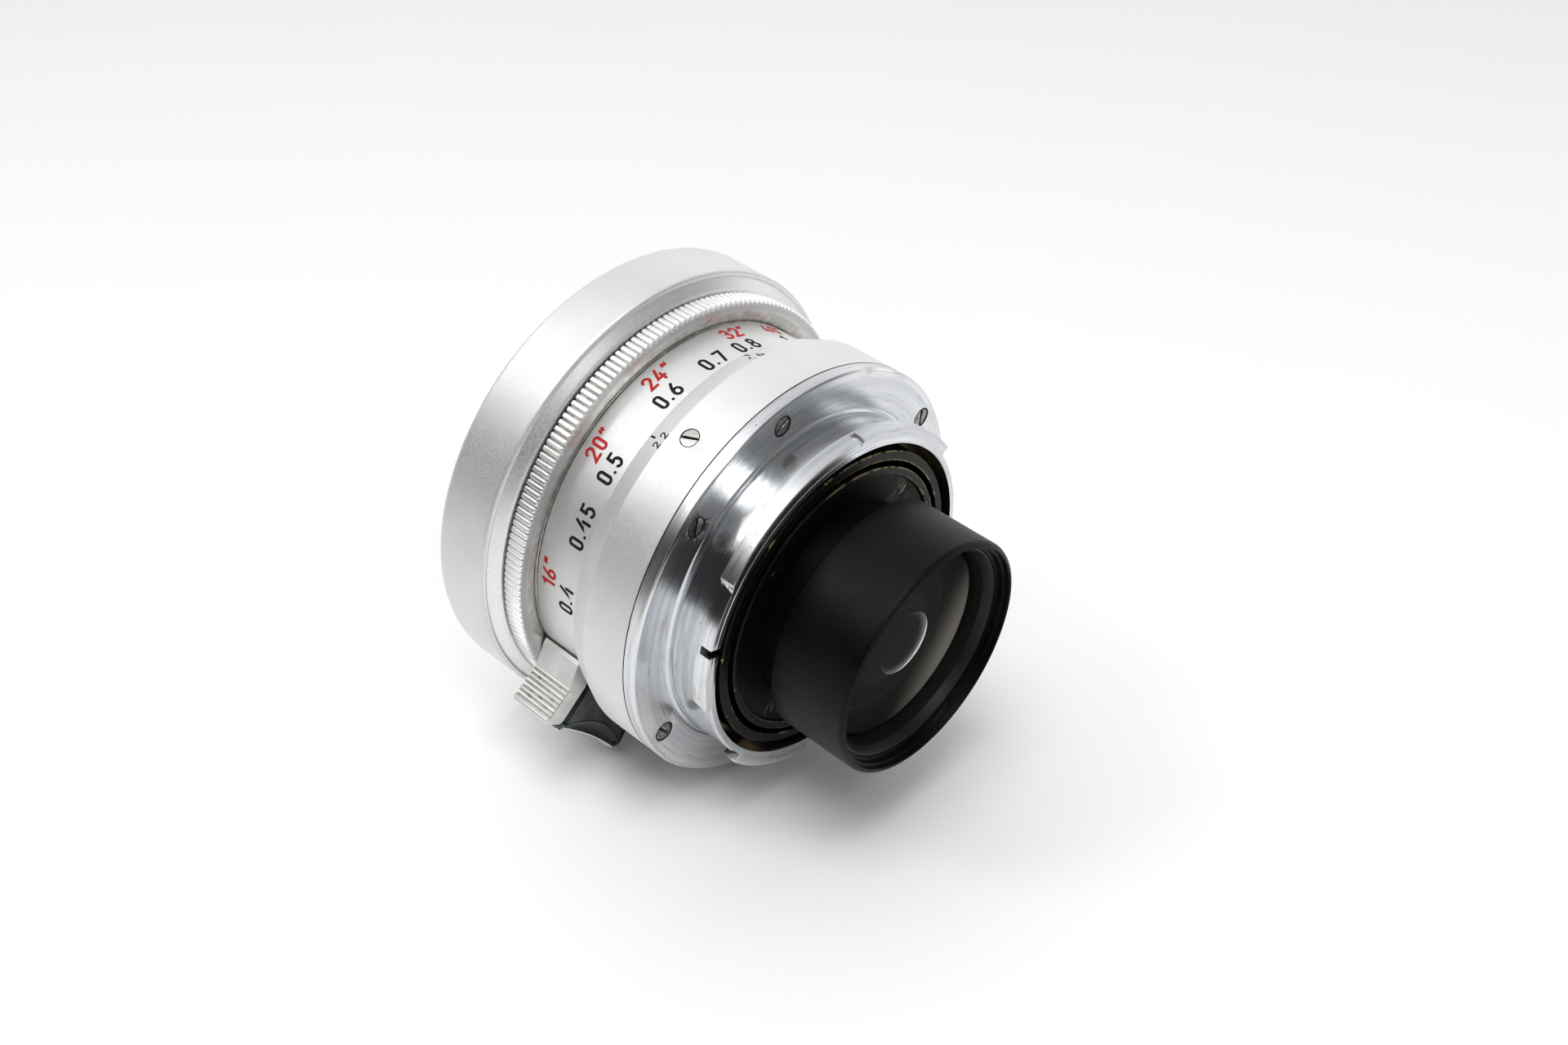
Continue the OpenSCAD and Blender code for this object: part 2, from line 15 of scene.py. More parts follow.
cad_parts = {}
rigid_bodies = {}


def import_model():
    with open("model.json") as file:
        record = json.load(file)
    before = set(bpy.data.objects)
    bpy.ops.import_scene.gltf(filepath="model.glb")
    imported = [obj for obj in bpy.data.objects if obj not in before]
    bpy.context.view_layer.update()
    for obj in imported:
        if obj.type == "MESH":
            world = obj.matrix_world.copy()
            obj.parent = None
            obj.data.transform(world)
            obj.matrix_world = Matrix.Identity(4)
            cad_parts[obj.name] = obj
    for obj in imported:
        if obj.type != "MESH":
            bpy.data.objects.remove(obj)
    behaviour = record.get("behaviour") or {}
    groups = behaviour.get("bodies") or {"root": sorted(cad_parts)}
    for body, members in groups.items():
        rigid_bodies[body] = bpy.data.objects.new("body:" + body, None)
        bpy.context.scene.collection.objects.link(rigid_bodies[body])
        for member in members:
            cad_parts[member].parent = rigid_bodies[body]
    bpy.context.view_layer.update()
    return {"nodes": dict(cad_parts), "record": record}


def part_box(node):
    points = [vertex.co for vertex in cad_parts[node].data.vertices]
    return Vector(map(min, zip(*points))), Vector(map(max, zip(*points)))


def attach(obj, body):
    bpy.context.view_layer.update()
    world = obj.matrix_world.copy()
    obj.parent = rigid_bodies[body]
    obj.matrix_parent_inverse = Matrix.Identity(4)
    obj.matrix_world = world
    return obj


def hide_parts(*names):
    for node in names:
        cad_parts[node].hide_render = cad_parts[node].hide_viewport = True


MM = 0.001

for startup_object in list(bpy.data.objects):
    bpy.data.objects.remove(startup_object)
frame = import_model()
nodes = frame["nodes"]


def radius_of(node):
    """Outer radius of a CAD node about the axis, in millimetres."""
    low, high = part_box(node)
    return max(-low[2], high[2]) / MM


FOCUS_R = radius_of("focusing_ring")
FLANGE_R = radius_of("bayonet_mount")
FRONT_R = radius_of("front_ring")
KNURL_R = radius_of("aperture_ring")
KNURL_FRONT_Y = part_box("aperture_ring")[0][1] / MM
CONE_FRONT_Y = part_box("fixed_barrel")[0][1] / MM
CONE_REAR_Y = CONE_FRONT_Y + 2.7
CONE_FRONT_R = FLANGE_R - 1.1

# Places that the scales, marks and glass share: thetas in degrees, the rest in millimetres.
INDEX_THETA = -89
FLANGE_SCREW_R = 24
FLANGE_SCREW_THETAS = (13, 48, 118, 180, 242, 304)
BARREL_SCREW_Y = -5.8
BARREL_SCREW_THETAS = (31, 151, 271)
TAB_HOLLOW_R = 11.0
TAB_HOLLOW_CENTRE = (38.75, 135.6)  # radius and theta
LEVER_FOOT = (26.9, 115.0)          # radius and theta of the grip face's inner end
LEVER_TOP = (31.0, 116.9)           # and of its outer end
REAR_GLASS_Y = 16.1
HEART_R = 4.0                       # the clear middle of the rear glass
LACQUER_R = 12.02


# ---------------------------------------------------------------- geometry helpers

def at(r, theta, y):
    """A point in metres, from a radius, a theta and a place along the axis in mm."""
    angle = math.radians(theta)
    return Vector((r * math.sin(angle), y, r * math.cos(angle))) * MM


def new_object(name, bm, material, body):
    """A mesh object from a bmesh, riding on a body."""
    bmesh.ops.recalc_face_normals(bm, faces=bm.faces)
    mesh = bpy.data.meshes.new(name)
    bm.to_mesh(mesh)
    bm.free()
    obj = bpy.data.objects.new(name, mesh)
    bpy.context.scene.collection.objects.link(obj)
    mesh.materials.append(material)
    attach(obj, body)
    return obj


def bridge(bm, rings, bands=None):
    """Faces from each ring of points to the next, with a material index for each band."""
    for band, (a, b) in enumerate(zip(rings, rings[1:])):
        for i in range(len(a)):
            j = (i + 1) % len(a)
            face = bm.faces.new((a[i], a[j], b[j], b[i]))
            face.material_index = bands[band] if bands else 0


def lathe(name, profile, material, body, segments=256):
    """A closed profile of (radius, y) points in mm, turned about the axis."""
    bm = bmesh.new()
    rings = [[bm.verts.new(at(r, 360 * i / segments, y)) for i in range(segments)]
             for r, y in profile]
    bridge(bm, rings + rings[:1])
    obj = new_object(name, bm, material, body)
    obj.data.shade_smooth()
    return obj


def arc(cx, cy, rx, ry, start, end, steps=10):
    """Points of an elliptical arc, anticlockwise from start to end in degrees."""
    angles = [math.radians(start + (end - start) * i / steps) for i in range(steps + 1)]
    return [(cx + rx * math.cos(a), cy + ry * math.sin(a)) for a in angles]


# ---------------------------------------------------------------- material helpers

class Nodes:
    """Short ways to add nodes to a tree. A value is a number, a colour or a node's output."""

    def __init__(self, tree, coordinates):
        self.tree = tree
        self.coords = tree.nodes.new("ShaderNodeTexCoord").outputs[coordinates]

    def link(self, source, target):
        if isinstance(source, (int, float)):
            target.default_value = source
        elif isinstance(source, tuple):
            target.default_value = (*source, 1)[:len(target.default_value)]
        else:
            self.tree.links.new(source, target)

    def math(self, operation, *values):
        node = self.tree.nodes.new("ShaderNodeMath")
        node.operation = operation
        for value, socket in zip(values, node.inputs):
            self.link(value, socket)
        return node.outputs[0]

    def plus(self, a, b):
        return self.math("ADD", a, b)

    def minus(self, a, b):
        return self.math("SUBTRACT", a, b)

    def times(self, a, b):
        return self.math("MULTIPLY", a, b)

    def hypot(self, a, b):
        return self.math("SQRT", self.plus(self.times(a, a), self.times(b, b)))

    def xyz(self):
        node = self.tree.nodes.new("ShaderNodeSeparateXYZ")
        self.link(self.coords, node.inputs[0])
        return node.outputs

    def polar(self):
        """Radius, theta in radians and place along the axis, in metres."""
        x, y, z = self.xyz()
        return self.hypot(x, z), self.math("ARCTAN2", x, z), y

    def vector(self, x, y, z):
        node = self.tree.nodes.new("ShaderNodeCombineXYZ")
        for value, socket in zip((x, y, z), node.inputs):
            self.link(value, socket)
        return node.outputs[0]

    def noise(self, size, detail=3.0, vector=None):
        """Noise whose features are about size metres across."""
        node = self.tree.nodes.new("ShaderNodeTexNoise")
        self.link(self.coords if vector is None else vector, node.inputs["Vector"])
        node.inputs["Scale"].default_value = 1 / size
        node.inputs["Detail"].default_value = detail
        return node.outputs["Fac"]

    def specks(self, size, share, radius):
        """1 inside small round specks: one per cell of the given size, in a share of them."""
        node = self.tree.nodes.new("ShaderNodeTexVoronoi")
        self.link(self.coords, node.inputs["Vector"])
        node.inputs["Scale"].default_value = 1 / size
        near = self.math("LESS_THAN", node.outputs["Distance"], radius / size)
        split = self.tree.nodes.new("ShaderNodeSeparateColor")
        self.link(node.outputs["Color"], split.inputs[0])
        return self.times(near, self.math("LESS_THAN", split.outputs[0], share))

    def ramp(self, value, low, high, out_low=0.0, out_high=1.0):
        """value mapped from [low, high] to [out_low, out_high], smoothly and clamped."""
        node = self.tree.nodes.new("ShaderNodeMapRange")
        node.interpolation_type = "SMOOTHSTEP"
        for v, socket in zip((value, low, high, out_low, out_high), node.inputs):
            self.link(v, socket)
        return node.outputs[0]

    def mix(self, factor, a, b):
        """A colour between a and b."""
        node = self.tree.nodes.new("ShaderNodeMix")
        node.data_type = "RGBA"
        self.link(factor, node.inputs[0])
        self.link(a, node.inputs[6])
        self.link(b, node.inputs[7])
        return node.outputs[2]


class Shader(Nodes):
    """A node material with a Principled shader."""

    def __init__(self, name, color, metallic, roughness):
        self.material = bpy.data.materials.new(name)
        self.material.use_nodes = True
        super().__init__(self.material.node_tree, "Object")
        self.bsdf = self.tree.nodes["Principled BSDF"]
        self.bsdf.inputs["Base Color"].default_value = (*color, 1)
        self.bsdf.inputs["Metallic"].default_value = metallic
        self.bsdf.inputs["Roughness"].default_value = roughness

    def color(self, source):
        self.link(source, self.bsdf.inputs["Base Color"])

    def rough(self, source):
        self.link(source, self.bsdf.inputs["Roughness"])

    def bump(self, height, depth, strength=1.0):
        """Bump from a height of 0 to 1 that stands for depth metres. Calls stack."""
        node = self.tree.nodes.new("ShaderNodeBump")
        node.inputs["Strength"].default_value = strength
        node.inputs["Distance"].default_value = depth
        self.link(height, node.inputs["Height"])
        if self.bsdf.inputs["Normal"].links:
            self.link(self.bsdf.inputs["Normal"].links[0].from_socket, node.inputs["Normal"])
        self.link(node.outputs[0], self.bsdf.inputs["Normal"])

    def turned(self, amount):
        """Stretches highlights across the circular tool marks of a turned face."""
        tangent = self.tree.nodes.new("ShaderNodeTangent")
        tangent.direction_type = "RADIAL"
        tangent.axis = "Y"
        self.bsdf.inputs["Anisotropic"].default_value = amount
        self.bsdf.inputs["Anisotropic Rotation"].default_value = 0.25
        self.link(tangent.outputs[0], self.bsdf.inputs["Tangent"])


def offset_radius(s, r, theta):
    """The distance in metres from a point beside the axis, at any y."""
    x, _, z = s.xyz()
    centre = at(r, theta, 0)
    return s.hypot(s.minus(x, centre.x), s.minus(z, centre.z))


# ---------------------------------------------------------------- materials

def satin_chrome():
    """The barrel and the focusing ring: a fine blasted grain with faint clouds."""
    s = Shader("satin_chrome", (0.74, 0.74, 0.735), 1.0, 0.5)
    cloud = s.noise(9 * MM, 3)
    grain = s.noise(0.16 * MM, 2)
    s.color(s.mix(s.ramp(cloud, 0.3, 0.75), (0.785, 0.785, 0.785), (0.735, 0.735, 0.73)))
    s.rough(s.ramp(grain, 0.3, 0.7, 0.48, 0.60))
    s.bump(grain, 0.008 * MM, 0.6)
    return s.material


def bright_chrome():
    """The knurl: bright teeth, darker in the hollows between them, and a satin cove behind."""
    s = Shader("bright_chrome", (0.85, 0.85, 0.85), 1.0, 0.2)
    radius, _, y = s.polar()
    cove = s.ramp(y, -18.36 * MM, -18.30 * MM)
    depth = s.ramp(radius, (KNURL_R - 0.42) * MM, (KNURL_R - 0.12) * MM)
    hollow = s.times(s.minus(1.0, depth), s.minus(1.0, cove))
    # The hollows between the teeth are darker, more so in patches.
    hollow_darkening = s.times(hollow, s.ramp(s.noise(1.1 * MM), 0.3, 0.6, 0.5, 1.0))
    teeth = s.mix(hollow_darkening, (0.93, 0.93, 0.925), (0.56, 0.55, 0.52))
    s.color(s.mix(cove, teeth, (0.60, 0.60, 0.60)))
    s.rough(s.plus(s.ramp(s.noise(0.3 * MM), 0.3, 0.7, 0.34, 0.46), s.times(cove, 0.12)))
    s.bump(s.noise(0.2 * MM), 0.006 * MM, 0.4)
    return s.material


def front_chrome():
    """The front ring: satin in front, and a coarser sanded cone next to the knurl."""
    s = Shader("front_chrome", (0.74, 0.74, 0.735), 1.0, 0.5)
    grain = s.noise(0.16 * MM, 2)
    sand = s.noise(0.22 * MM, 3)
    cone = s.ramp(s.xyz()[1], -22.34 * MM, -22.26 * MM)
    satin = s.mix(s.ramp(s.noise(9 * MM), 0.3, 0.75), (0.75, 0.75, 0.745), (0.70, 0.70, 0.69))
    sanded = s.mix(s.ramp(sand, 0.35, 0.65), (0.78, 0.78, 0.775), (0.86, 0.86, 0.855))
    s.color(s.mix(cone, satin, sanded))
    s.rough(s.minus(s.ramp(grain, 0.3, 0.7, 0.46, 0.60), s.times(cone, 0.12)))
    s.bump(s.plus(grain, s.times(cone, sand)), 0.007 * MM, 0.5)
    return s.material


def tab_chrome():
    """The focusing tab: a bright lip, a rear face with dark painted reflections and two bands of
    painted shade, and a darker painted reflection on the hollow bevel.
    """
    s = Shader("tab_chrome", (0.60, 0.60, 0.58), 1.0, 0.26)
    _, theta, y = s.polar()
    away = offset_radius(s, *TAB_HOLLOW_CENTRE)
    rear = s.ramp(y, -13.6 * MM, -13.4 * MM)
    lip = s.ramp(away, 10.0 * MM, 10.12 * MM, 1.0, 0.0)
    bevel = s.ramp(away, 11.12 * MM, 11.22 * MM, 1.0, 0.0)
    # The rear face's dark colours are a painted reflection of the shade under the lens, in patches.
    reflection_patches = s.ramp(s.noise(1.5 * MM, 4), 0.35, 0.7)
    face = s.mix(reflection_patches, (0.150, 0.155, 0.145), (0.085, 0.088, 0.080))
    # A narrow dark band near the far end: painted shade.
    end_shade_band = s.times(s.ramp(theta, math.radians(146.2), math.radians(146.9)),
                     s.ramp(theta, math.radians(147.5), math.radians(147.7), 1.0, 0.0))
    face = s.mix(end_shade_band, face, (0.010, 0.011, 0.010))
    # A darker band beside the middle of the face: painted shade.
    shade = s.times(s.ramp(away, 12.2 * MM, 13.2 * MM),
                    s.ramp(s.math("ABSOLUTE", s.minus(theta, math.radians(134))),
                           math.radians(1.8), math.radians(2.6), 1.0, 0.0))
    face = s.mix(shade, face, (0.016, 0.018, 0.017))
    # The hollow bevel is painted darker still: a painted reflection.
    back = s.mix(lip, s.mix(bevel, face, (0.014, 0.018, 0.019)), (0.80, 0.80, 0.79))
    s.color(s.mix(rear, (0.66, 0.66, 0.64), back))
    s.rough(s.ramp(s.noise(0.3 * MM), 0.3, 0.7, 0.34, 0.46))
    s.bump(s.noise(0.22 * MM), 0.003 * MM, 0.35)
    return s.material


def scoop_chrome():
    """The polished scoop in the tab's rear face, painted dark as a painted reflection, with a painted
    sheen lighter beside the lever.
    """
    s = Shader("scoop_chrome", (0.02, 0.02, 0.02), 0.0, 0.35)
    _, theta, _ = s.polar()
    # A painted sheen, lighter beside the lever.
    sheen = s.ramp(theta, math.radians(121.5), math.radians(129.5), 1.0, 0.0)
    sheen = s.times(sheen, s.ramp(s.noise(1.2 * MM), 0.3, 0.7, 0.8, 1.0))
    s.color(s.mix(sheen, (0.008, 0.010, 0.011), (0.26, 0.33, 0.33)))
    s.bump(s.noise(0.2 * MM), 0.003 * MM, 0.4)
    return s.material


def heel_chrome():
    """The lever's smooth heel, finely blasted and pale."""
    s = Shader("heel_chrome", (0.80, 0.81, 0.79), 0.45, 0.6)
    grain = s.noise(0.14 * MM)
    s.color(s.mix(s.ramp(s.noise(1.8 * MM, 3), 0.35, 0.7), (0.80, 0.81, 0.79), (0.72, 0.73, 0.71)))
    s.bump(grain, 0.005 * MM, 0.6)
    return s.material


def lever_chrome():
    """The lever: satin, a little darker at the bottom of its grip grooves."""
    s = Shader("lever_chrome", (0.74, 0.75, 0.72), 0.7, 0.5)
    x, _, z = s.xyz()
    start = at(*LEVER_FOOT, 0)
    slope = (at(*LEVER_TOP, 0) - start).normalized()
    dx, dz = s.minus(x, start.x), s.minus(z, start.z)
    inward = s.minus(s.times(dx, slope.z), s.times(dz, slope.x))
    along = s.plus(s.times(dx, slope.x), s.times(dz, slope.z))
    depth = s.ramp(s.math("ABSOLUTE", inward), 0.07 * MM, 0.20 * MM)
    on_pad = s.times(s.ramp(along, 0.0, 0.2 * MM), s.ramp(along, 4.2 * MM, 4.4 * MM, 1.0, 0.0))
    near = s.ramp(s.math("ABSOLUTE", inward), 0.26 * MM, 0.34 * MM, 1.0, 0.0)
    patches = s.ramp(s.noise(0.9 * MM, 3), 0.50, 0.68, 0.55, 1.0)
    # Darker at the bottom of the grip grooves on the pad, more so in patches.
    hollow_darkening = s.times(s.times(depth, s.times(on_pad, near)), patches)
    s.color(s.mix(hollow_darkening, (0.78, 0.79, 0.76), (0.20, 0.195, 0.16)))
    s.rough(s.ramp(s.noise(0.3 * MM), 0.3, 0.7, 0.44, 0.56))
    s.bump(s.noise(0.16 * MM), 0.006 * MM, 0.5)
    return s.material


def mount_steel():
    """Turned steel: polished on the face and the tube, satin on the lugs and the rim."""
    s = Shader("mount_steel", (0.74, 0.75, 0.76), 1.0, 0.16)
    radius, theta, y = s.polar()
    grooves = s.noise(0.28 * MM, 2, s.vector(radius, y, 0.0))
    bands = s.noise(0.7 * MM, 2, s.vector(radius, y, s.times(theta, 0.0006)))
    turn = s.times(theta, 0.0012)
    scratches = s.ramp(s.noise(0.30 * MM, 2, s.vector(radius, y, turn)), 0.58, 0.72)
    streak = s.noise(1.6 * MM, 3, s.vector(radius, y, s.times(theta, 0.003)))
    stain = s.times(s.ramp(streak, 0.56, 0.70), s.ramp(s.noise(7 * MM), 0.5, 0.62))
    base = s.mix(s.ramp(bands, 0.35, 0.65), (0.75, 0.765, 0.78), (0.60, 0.615, 0.64))
    base = s.mix(s.times(stain, 0.5), base, (0.42, 0.33, 0.20))
    base = s.mix(s.times(scratches, 0.5), base, (0.28, 0.28, 0.29))
    pits = s.times(s.specks(0.8 * MM, 0.34, 0.09 * MM), s.ramp(s.noise(4 * MM), 0.5, 0.6))
    s.color(s.mix(pits, base, (0.03, 0.028, 0.025)))
    rim = s.ramp(radius, (FLANGE_R - 0.12) * MM, (FLANGE_R - 0.04) * MM)
    lug = s.times(s.ramp(y, 4.0 * MM, 4.2 * MM), s.ramp(radius, 21.6 * MM, 21.8 * MM))
    satin = s.math("MAXIMUM", rim, lug)
    polish = s.plus(s.ramp(bands, 0.3, 0.7, 0.15, 0.21), s.times(stain, 0.12))
    s.rough(s.plus(polish, s.times(satin, 0.20)))
    s.bump(grooves, 0.002 * MM, 0.4)
    s.bump(bands, 0.010 * MM, 0.35)
    s.turned(0.75)
    return s.material


def slotted(name, bright, worn, slot_shade):
    """A screw head: the last argument gives a mask that is 1 down in the slot, which is painted near
    black as painted shade.
    """
    s = Shader(name, bright, 1.0, 0.3)
    wear = s.noise(0.6 * MM, 3)
    # Down in the slot the head is painted near black: painted shade.
    s.color(s.mix(slot_shade(s), s.mix(s.ramp(wear, 0.45, 0.65), bright, worn), (0.008, 0.008, 0.007)))
    s.rough(s.ramp(wear, 0.3, 0.7, 0.25, 0.4))
    s.bump(s.noise(0.15 * MM), 0.004 * MM, 0.5)
    return s.material


def below_y(top):
    """The mask of painted shade in the slots of heads that face +Y with their tops at the given place,
    in mm.
    """
    return lambda s: s.ramp(s.xyz()[1], (top - 0.12) * MM, (top - 0.04) * MM, 1.0, 0.0)


def below_r(top):
    """The mask of painted shade in the slots of heads that face outwards with their tops at a radius,
    in mm.
    """
    return lambda s: s.ramp(s.polar()[0], (top - 0.12) * MM, (top - 0.04) * MM, 1.0, 0.0)


def screw_steel():
    """Plain steel pins and screws, duller where they are worn."""
    s = Shader("screw_steel", (0.62, 0.62, 0.60), 1.0, 0.3)
    wear = s.noise(0.5 * MM, 4)
    s.color(s.mix(s.ramp(wear, 0.4, 0.65), (0.62, 0.62, 0.60), (0.42, 0.41, 0.38)))
    s.rough(s.ramp(wear, 0.3, 0.7, 0.2, 0.4))
    s.bump(s.noise(0.12 * MM), 0.004 * MM, 0.5)
    return s.material


def brass():
    """Machined brass, with the tool's grooves round the axis."""
    s = Shader("brass", (0.62, 0.46, 0.20), 1.0, 0.3)
    radius, _, y = s.polar()
    grooves = s.noise(0.15 * MM, 2, s.vector(radius, y, 0.0))
    s.color(s.mix(s.ramp(s.noise(3 * MM), 0.3, 0.7), (0.66, 0.50, 0.22), (0.46, 0.32, 0.13)))
    s.bump(grooves, 0.006 * MM, 0.5)
    return s.material


def aged_brass():
    """Blackened brass, worn back to the metal in places."""
    s = Shader("aged_brass", (0.25, 0.19, 0.09), 1.0, 0.38)
    worn = s.ramp(s.noise(0.5 * MM, 4), 0.45, 0.62)
    s.color(s.mix(worn, (0.045, 0.036, 0.02), (0.42, 0.31, 0.13)))
    s.bump(s.noise(0.15 * MM), 0.01 * MM, 0.5)
    return s.material


def black_brass(name, edges):
    """Black paint over brass, worn through in places at each edge given as (r, y) in mm.

    The wear is nearly unbroken on top, where the lens has lain in its case.
    """
    s = Shader(name, (0.003, 0.003, 0.003), 0.0, 0.35)
    s.bsdf.inputs["Specular IOR Level"].default_value = 0.12
    radius, theta, y = s.polar()
    wear = 0.0
    for edge_r, edge_y in edges:
        away = s.hypot(s.minus(radius, edge_r * MM), s.minus(y, edge_y * MM))
        wear = s.math("MAXIMUM", wear, s.ramp(away, 0.05 * MM, 0.28 * MM, 1.0, 0.0))
    patchy = s.times(s.ramp(s.noise(0.7 * MM, 4), 0.4, 0.6), s.ramp(s.noise(6 * MM), 0.5, 0.6))
    turned_away = s.math("ABSOLUTE", s.plus(theta, math.radians(20)))
    top = s.ramp(turned_away, math.radians(25), math.radians(50), 0.55, 0.0)
    patchy = s.math("MAXIMUM", patchy, s.times(top, s.ramp(s.noise(1.2 * MM, 3), 0.3, 0.5)))
    worn = s.ramp(s.times(wear, patchy), 0.3, 0.6)
    s.color(s.mix(worn, (0.0028, 0.0028, 0.0028), (0.22, 0.18, 0.085)))
    s.link(worn, s.bsdf.inputs["Metallic"])
    s.rough(s.ramp(s.noise(0.4 * MM), 0.3, 0.7, 0.28, 0.42))
    s.bump(s.noise(0.2 * MM), 0.004 * MM, 0.5)
    return s.material


def black_anodised(name, dark, light, specular):
    """Satin black anodising with a fine grain, faint smudges and a little dust."""
    s = Shader(name, (dark, dark, dark), 0.0, 0.42)
    s.bsdf.inputs["Specular IOR Level"].default_value = specular
    grain = s.noise(0.20 * MM, 2)
    smudge = s.ramp(s.noise(6 * MM, 4), 0.35, 0.7)
    base = s.mix(smudge, (dark, dark, dark), (light, light, light))
    s.color(s.mix(s.specks(1.7 * MM, 0.09, 0.06 * MM), base, (0.30, 0.295, 0.28)))
    s.rough(s.plus(s.ramp(grain, 0.3, 0.7, 0.36, 0.48), s.times(smudge, 0.06)))
    s.bump(grain, 0.012 * MM, 0.7)
    return s.material


def black_steel():
    """The blackened spring steel of the iris blades."""
    s = Shader("blade_steel", (0.05, 0.05, 0.052), 1.0, 0.35)
    s.color(s.mix(s.ramp(s.noise(2 * MM), 0.3, 0.7), (0.035, 0.035, 0.038), (0.07, 0.07, 0.072)))
    s.bump(s.noise(0.2 * MM), 0.004 * MM, 0.5)
    return s.material


def glass():
    """Coated glass: the coating cuts the reflections and warms them."""
    s = Shader("glass", (0.93, 0.95, 0.95), 0.0, 0.0)
    s.bsdf.inputs["Transmission Weight"].default_value = 1.0
    s.bsdf.inputs["IOR"].default_value = 1.6
    s.bsdf.inputs["Specular Tint"].default_value = (0.42, 0.37, 0.33, 1.0)
    s.color(s.mix(s.noise(5 * MM), (0.92, 0.94, 0.94), (0.95, 0.96, 0.95)))
    return s.material


def paint(name, light, dark):
    """Paint in the engraving, a little uneven."""
    s = Shader(name, light, 0.0, 0.6)
    s.bsdf.inputs["Specular IOR Level"].default_value = 0.15
    s.color(s.mix(s.ramp(s.noise(0.5 * MM, 3), 0.35, 0.7), light, dark))
    s.bump(s.noise(0.12 * MM), 0.01 * MM, 0.5)
    return s.material


# ---------------------------------------------------------------- CAD nodes

def tidy_group():
    """Geometry nodes that join the points split by the export, all shaded smoothly."""
    group = bpy.data.node_groups.new("tidy_mesh", "GeometryNodeTree")
    group.interface.new_socket("Geometry", in_out="INPUT", socket_type="NodeSocketGeometry")
    group.interface.new_socket("Geometry", in_out="OUTPUT", socket_type="NodeSocketGeometry")
    make = group.nodes.new
    remove = make("GeometryNodeRemoveAttribute")
    remove.inputs["Name"].default_value = "custom_normal"
    merge = make("GeometryNodeMergeByDistance")
    merge.inputs["Distance"].default_value = 1e-7
    smooth = make("GeometryNodeSetShadeSmooth")
    chain = [make("NodeGroupInput"), remove, merge, smooth, make("NodeGroupOutput")]
    for a, b in zip(chain, chain[1:]):
        group.links.new(a.outputs[0], b.inputs[0])
    return group


TIDY = tidy_group()


def soften(obj, width):
    """Breaks the object's sharp edges with a small rounded bevel, in mm."""
    obj.modifiers.new("tidy", "NODES").node_group = TIDY
    bevel = obj.modifiers.new("edge_break", "BEVEL")
    bevel.width = width * MM
    bevel.segments = 2
    bevel.limit_method = "ANGLE"
    bevel.angle_limit = math.radians(14)
    obj.modifiers.new("flat_faces", "WEIGHTED_NORMAL")


# ---------------------------------------------------------------- engraved figures

# Strokes of each figure in a box 1 high: lists of points, closed where the ends meet.
GLYPHS = {
    "0": (0.41, [arc(0.205, 0.795, 0.205, 0.205, 0, 180) + arc(0.205, 0.205, 0.205, 0.205, 180, 360)
                 + [(0.41, 0.795)]]),
    "1": (0.26, [[(0.0, 0.80), (0.22, 1.0), (0.22, 0.0)]]),
    "2": (0.50, [arc(0.25, 0.74, 0.24, 0.26, 165, -38) + [(0.0, 0.0), (0.50, 0.0)]]),
    "3": (0.46, [arc(0.23, 0.76, 0.21, 0.24, 150, -90) + arc(0.22, 0.26, 0.24, 0.26, 90, -150)]),
    "4": (0.56, [[(0.33, 1.0), (0.0, 0.27), (0.56, 0.27)], [(0.40, 0.56), (0.40, 0.0)]]),
    "5": (0.43, [[(0.40, 1.0), (0.06, 1.0), (0.03, 0.56)] + arc(0.20, 0.30, 0.23, 0.30, 125, -145)]),
    "6": (0.47, [arc(0.235, 0.27, 0.235, 0.27, 0, 360, 20),
                 [(0.0, 0.27), (0.04, 0.48), (0.14, 0.70), (0.33, 1.0)]]),
    "7": (0.46, [[(0.0, 1.0), (0.46, 1.0), (0.16, 0.0)]]),
    "8": (0.46, [arc(0.23, 0.77, 0.19, 0.23, -90, 270, 20), arc(0.23, 0.27, 0.23, 0.27, 90, 450, 20)]),
    "9": (0.47, [arc(0.235, 0.73, 0.235, 0.27, 180, 540, 20),
                 [(0.47, 0.73), (0.43, 0.52), (0.33, 0.30), (0.14, 0.0)]]),
    ".": (0.10, [[(0.05, 0.05), (0.06, 0.05)]]),
    "'": (0.07, [[(0.07, 1.02), (0.02, 0.86)]]),
    '"': (0.285, [[(0.07, 1.02), (0.02, 0.86)], [(0.285, 1.02), (0.235, 0.86)]]),
    "inf": (1.14, [arc(0.29, 0.46, 0.29, 0.26, 0, 360, 20),
                   arc(0.85, 0.46, 0.29, 0.26, 180, 540, 20)]),
}
GAP = 0.33  # space between figures, for a height of 1


def densify(points, step):
    """The same line with no stretch longer than step."""
    out = [points[0]]
    for a, b in zip(points, points[1:]):
        n = max(1, math.ceil(math.dist(a, b) / step))
        out += [(a[0] + (b[0] - a[0]) * i / n, a[1] + (b[1] - a[1]) * i / n)
                for i in range(1, n + 1)]
    return out


def cap(centre, direction, half, steps=6):
    """A round end, from the left side of the line to its right side."""
    base = math.atan2(direction[1], direction[0]) + math.pi / 2
    return [(centre[0] + half * math.cos(base - math.pi * i / steps),
             centre[1] + half * math.sin(base - math.pi * i / steps)) for i in range(steps + 1)]


def side(points, half, closed):
    """The line's left side at a distance of half, with mitred corners."""
    out = []
    count = len(points)
    for i, p in enumerate(points):
        if closed:
            before, after = points[i - 1], points[(i + 1) % count]
        else:
            before, after = points[max(i - 1, 0)], points[min(i + 1, count - 1)]
        d1 = Vector((p[0] - before[0], p[1] - before[1]))
        d2 = Vector((after[0] - p[0], after[1] - p[1]))
        d1 = d1.normalized() if d1.length > 1e-9 else d2.normalized()
        d2 = d2.normalized() if d2.length > 1e-9 else d1
        bisector = d1 + d2
        if bisector.length < 0.2:
            bisector = d1
        bisector.normalize()
        reach = half / max(0.5, bisector.dot(d1))
        out.append((p[0] - bisector.y * reach, p[1] + bisector.x * reach))
    return out


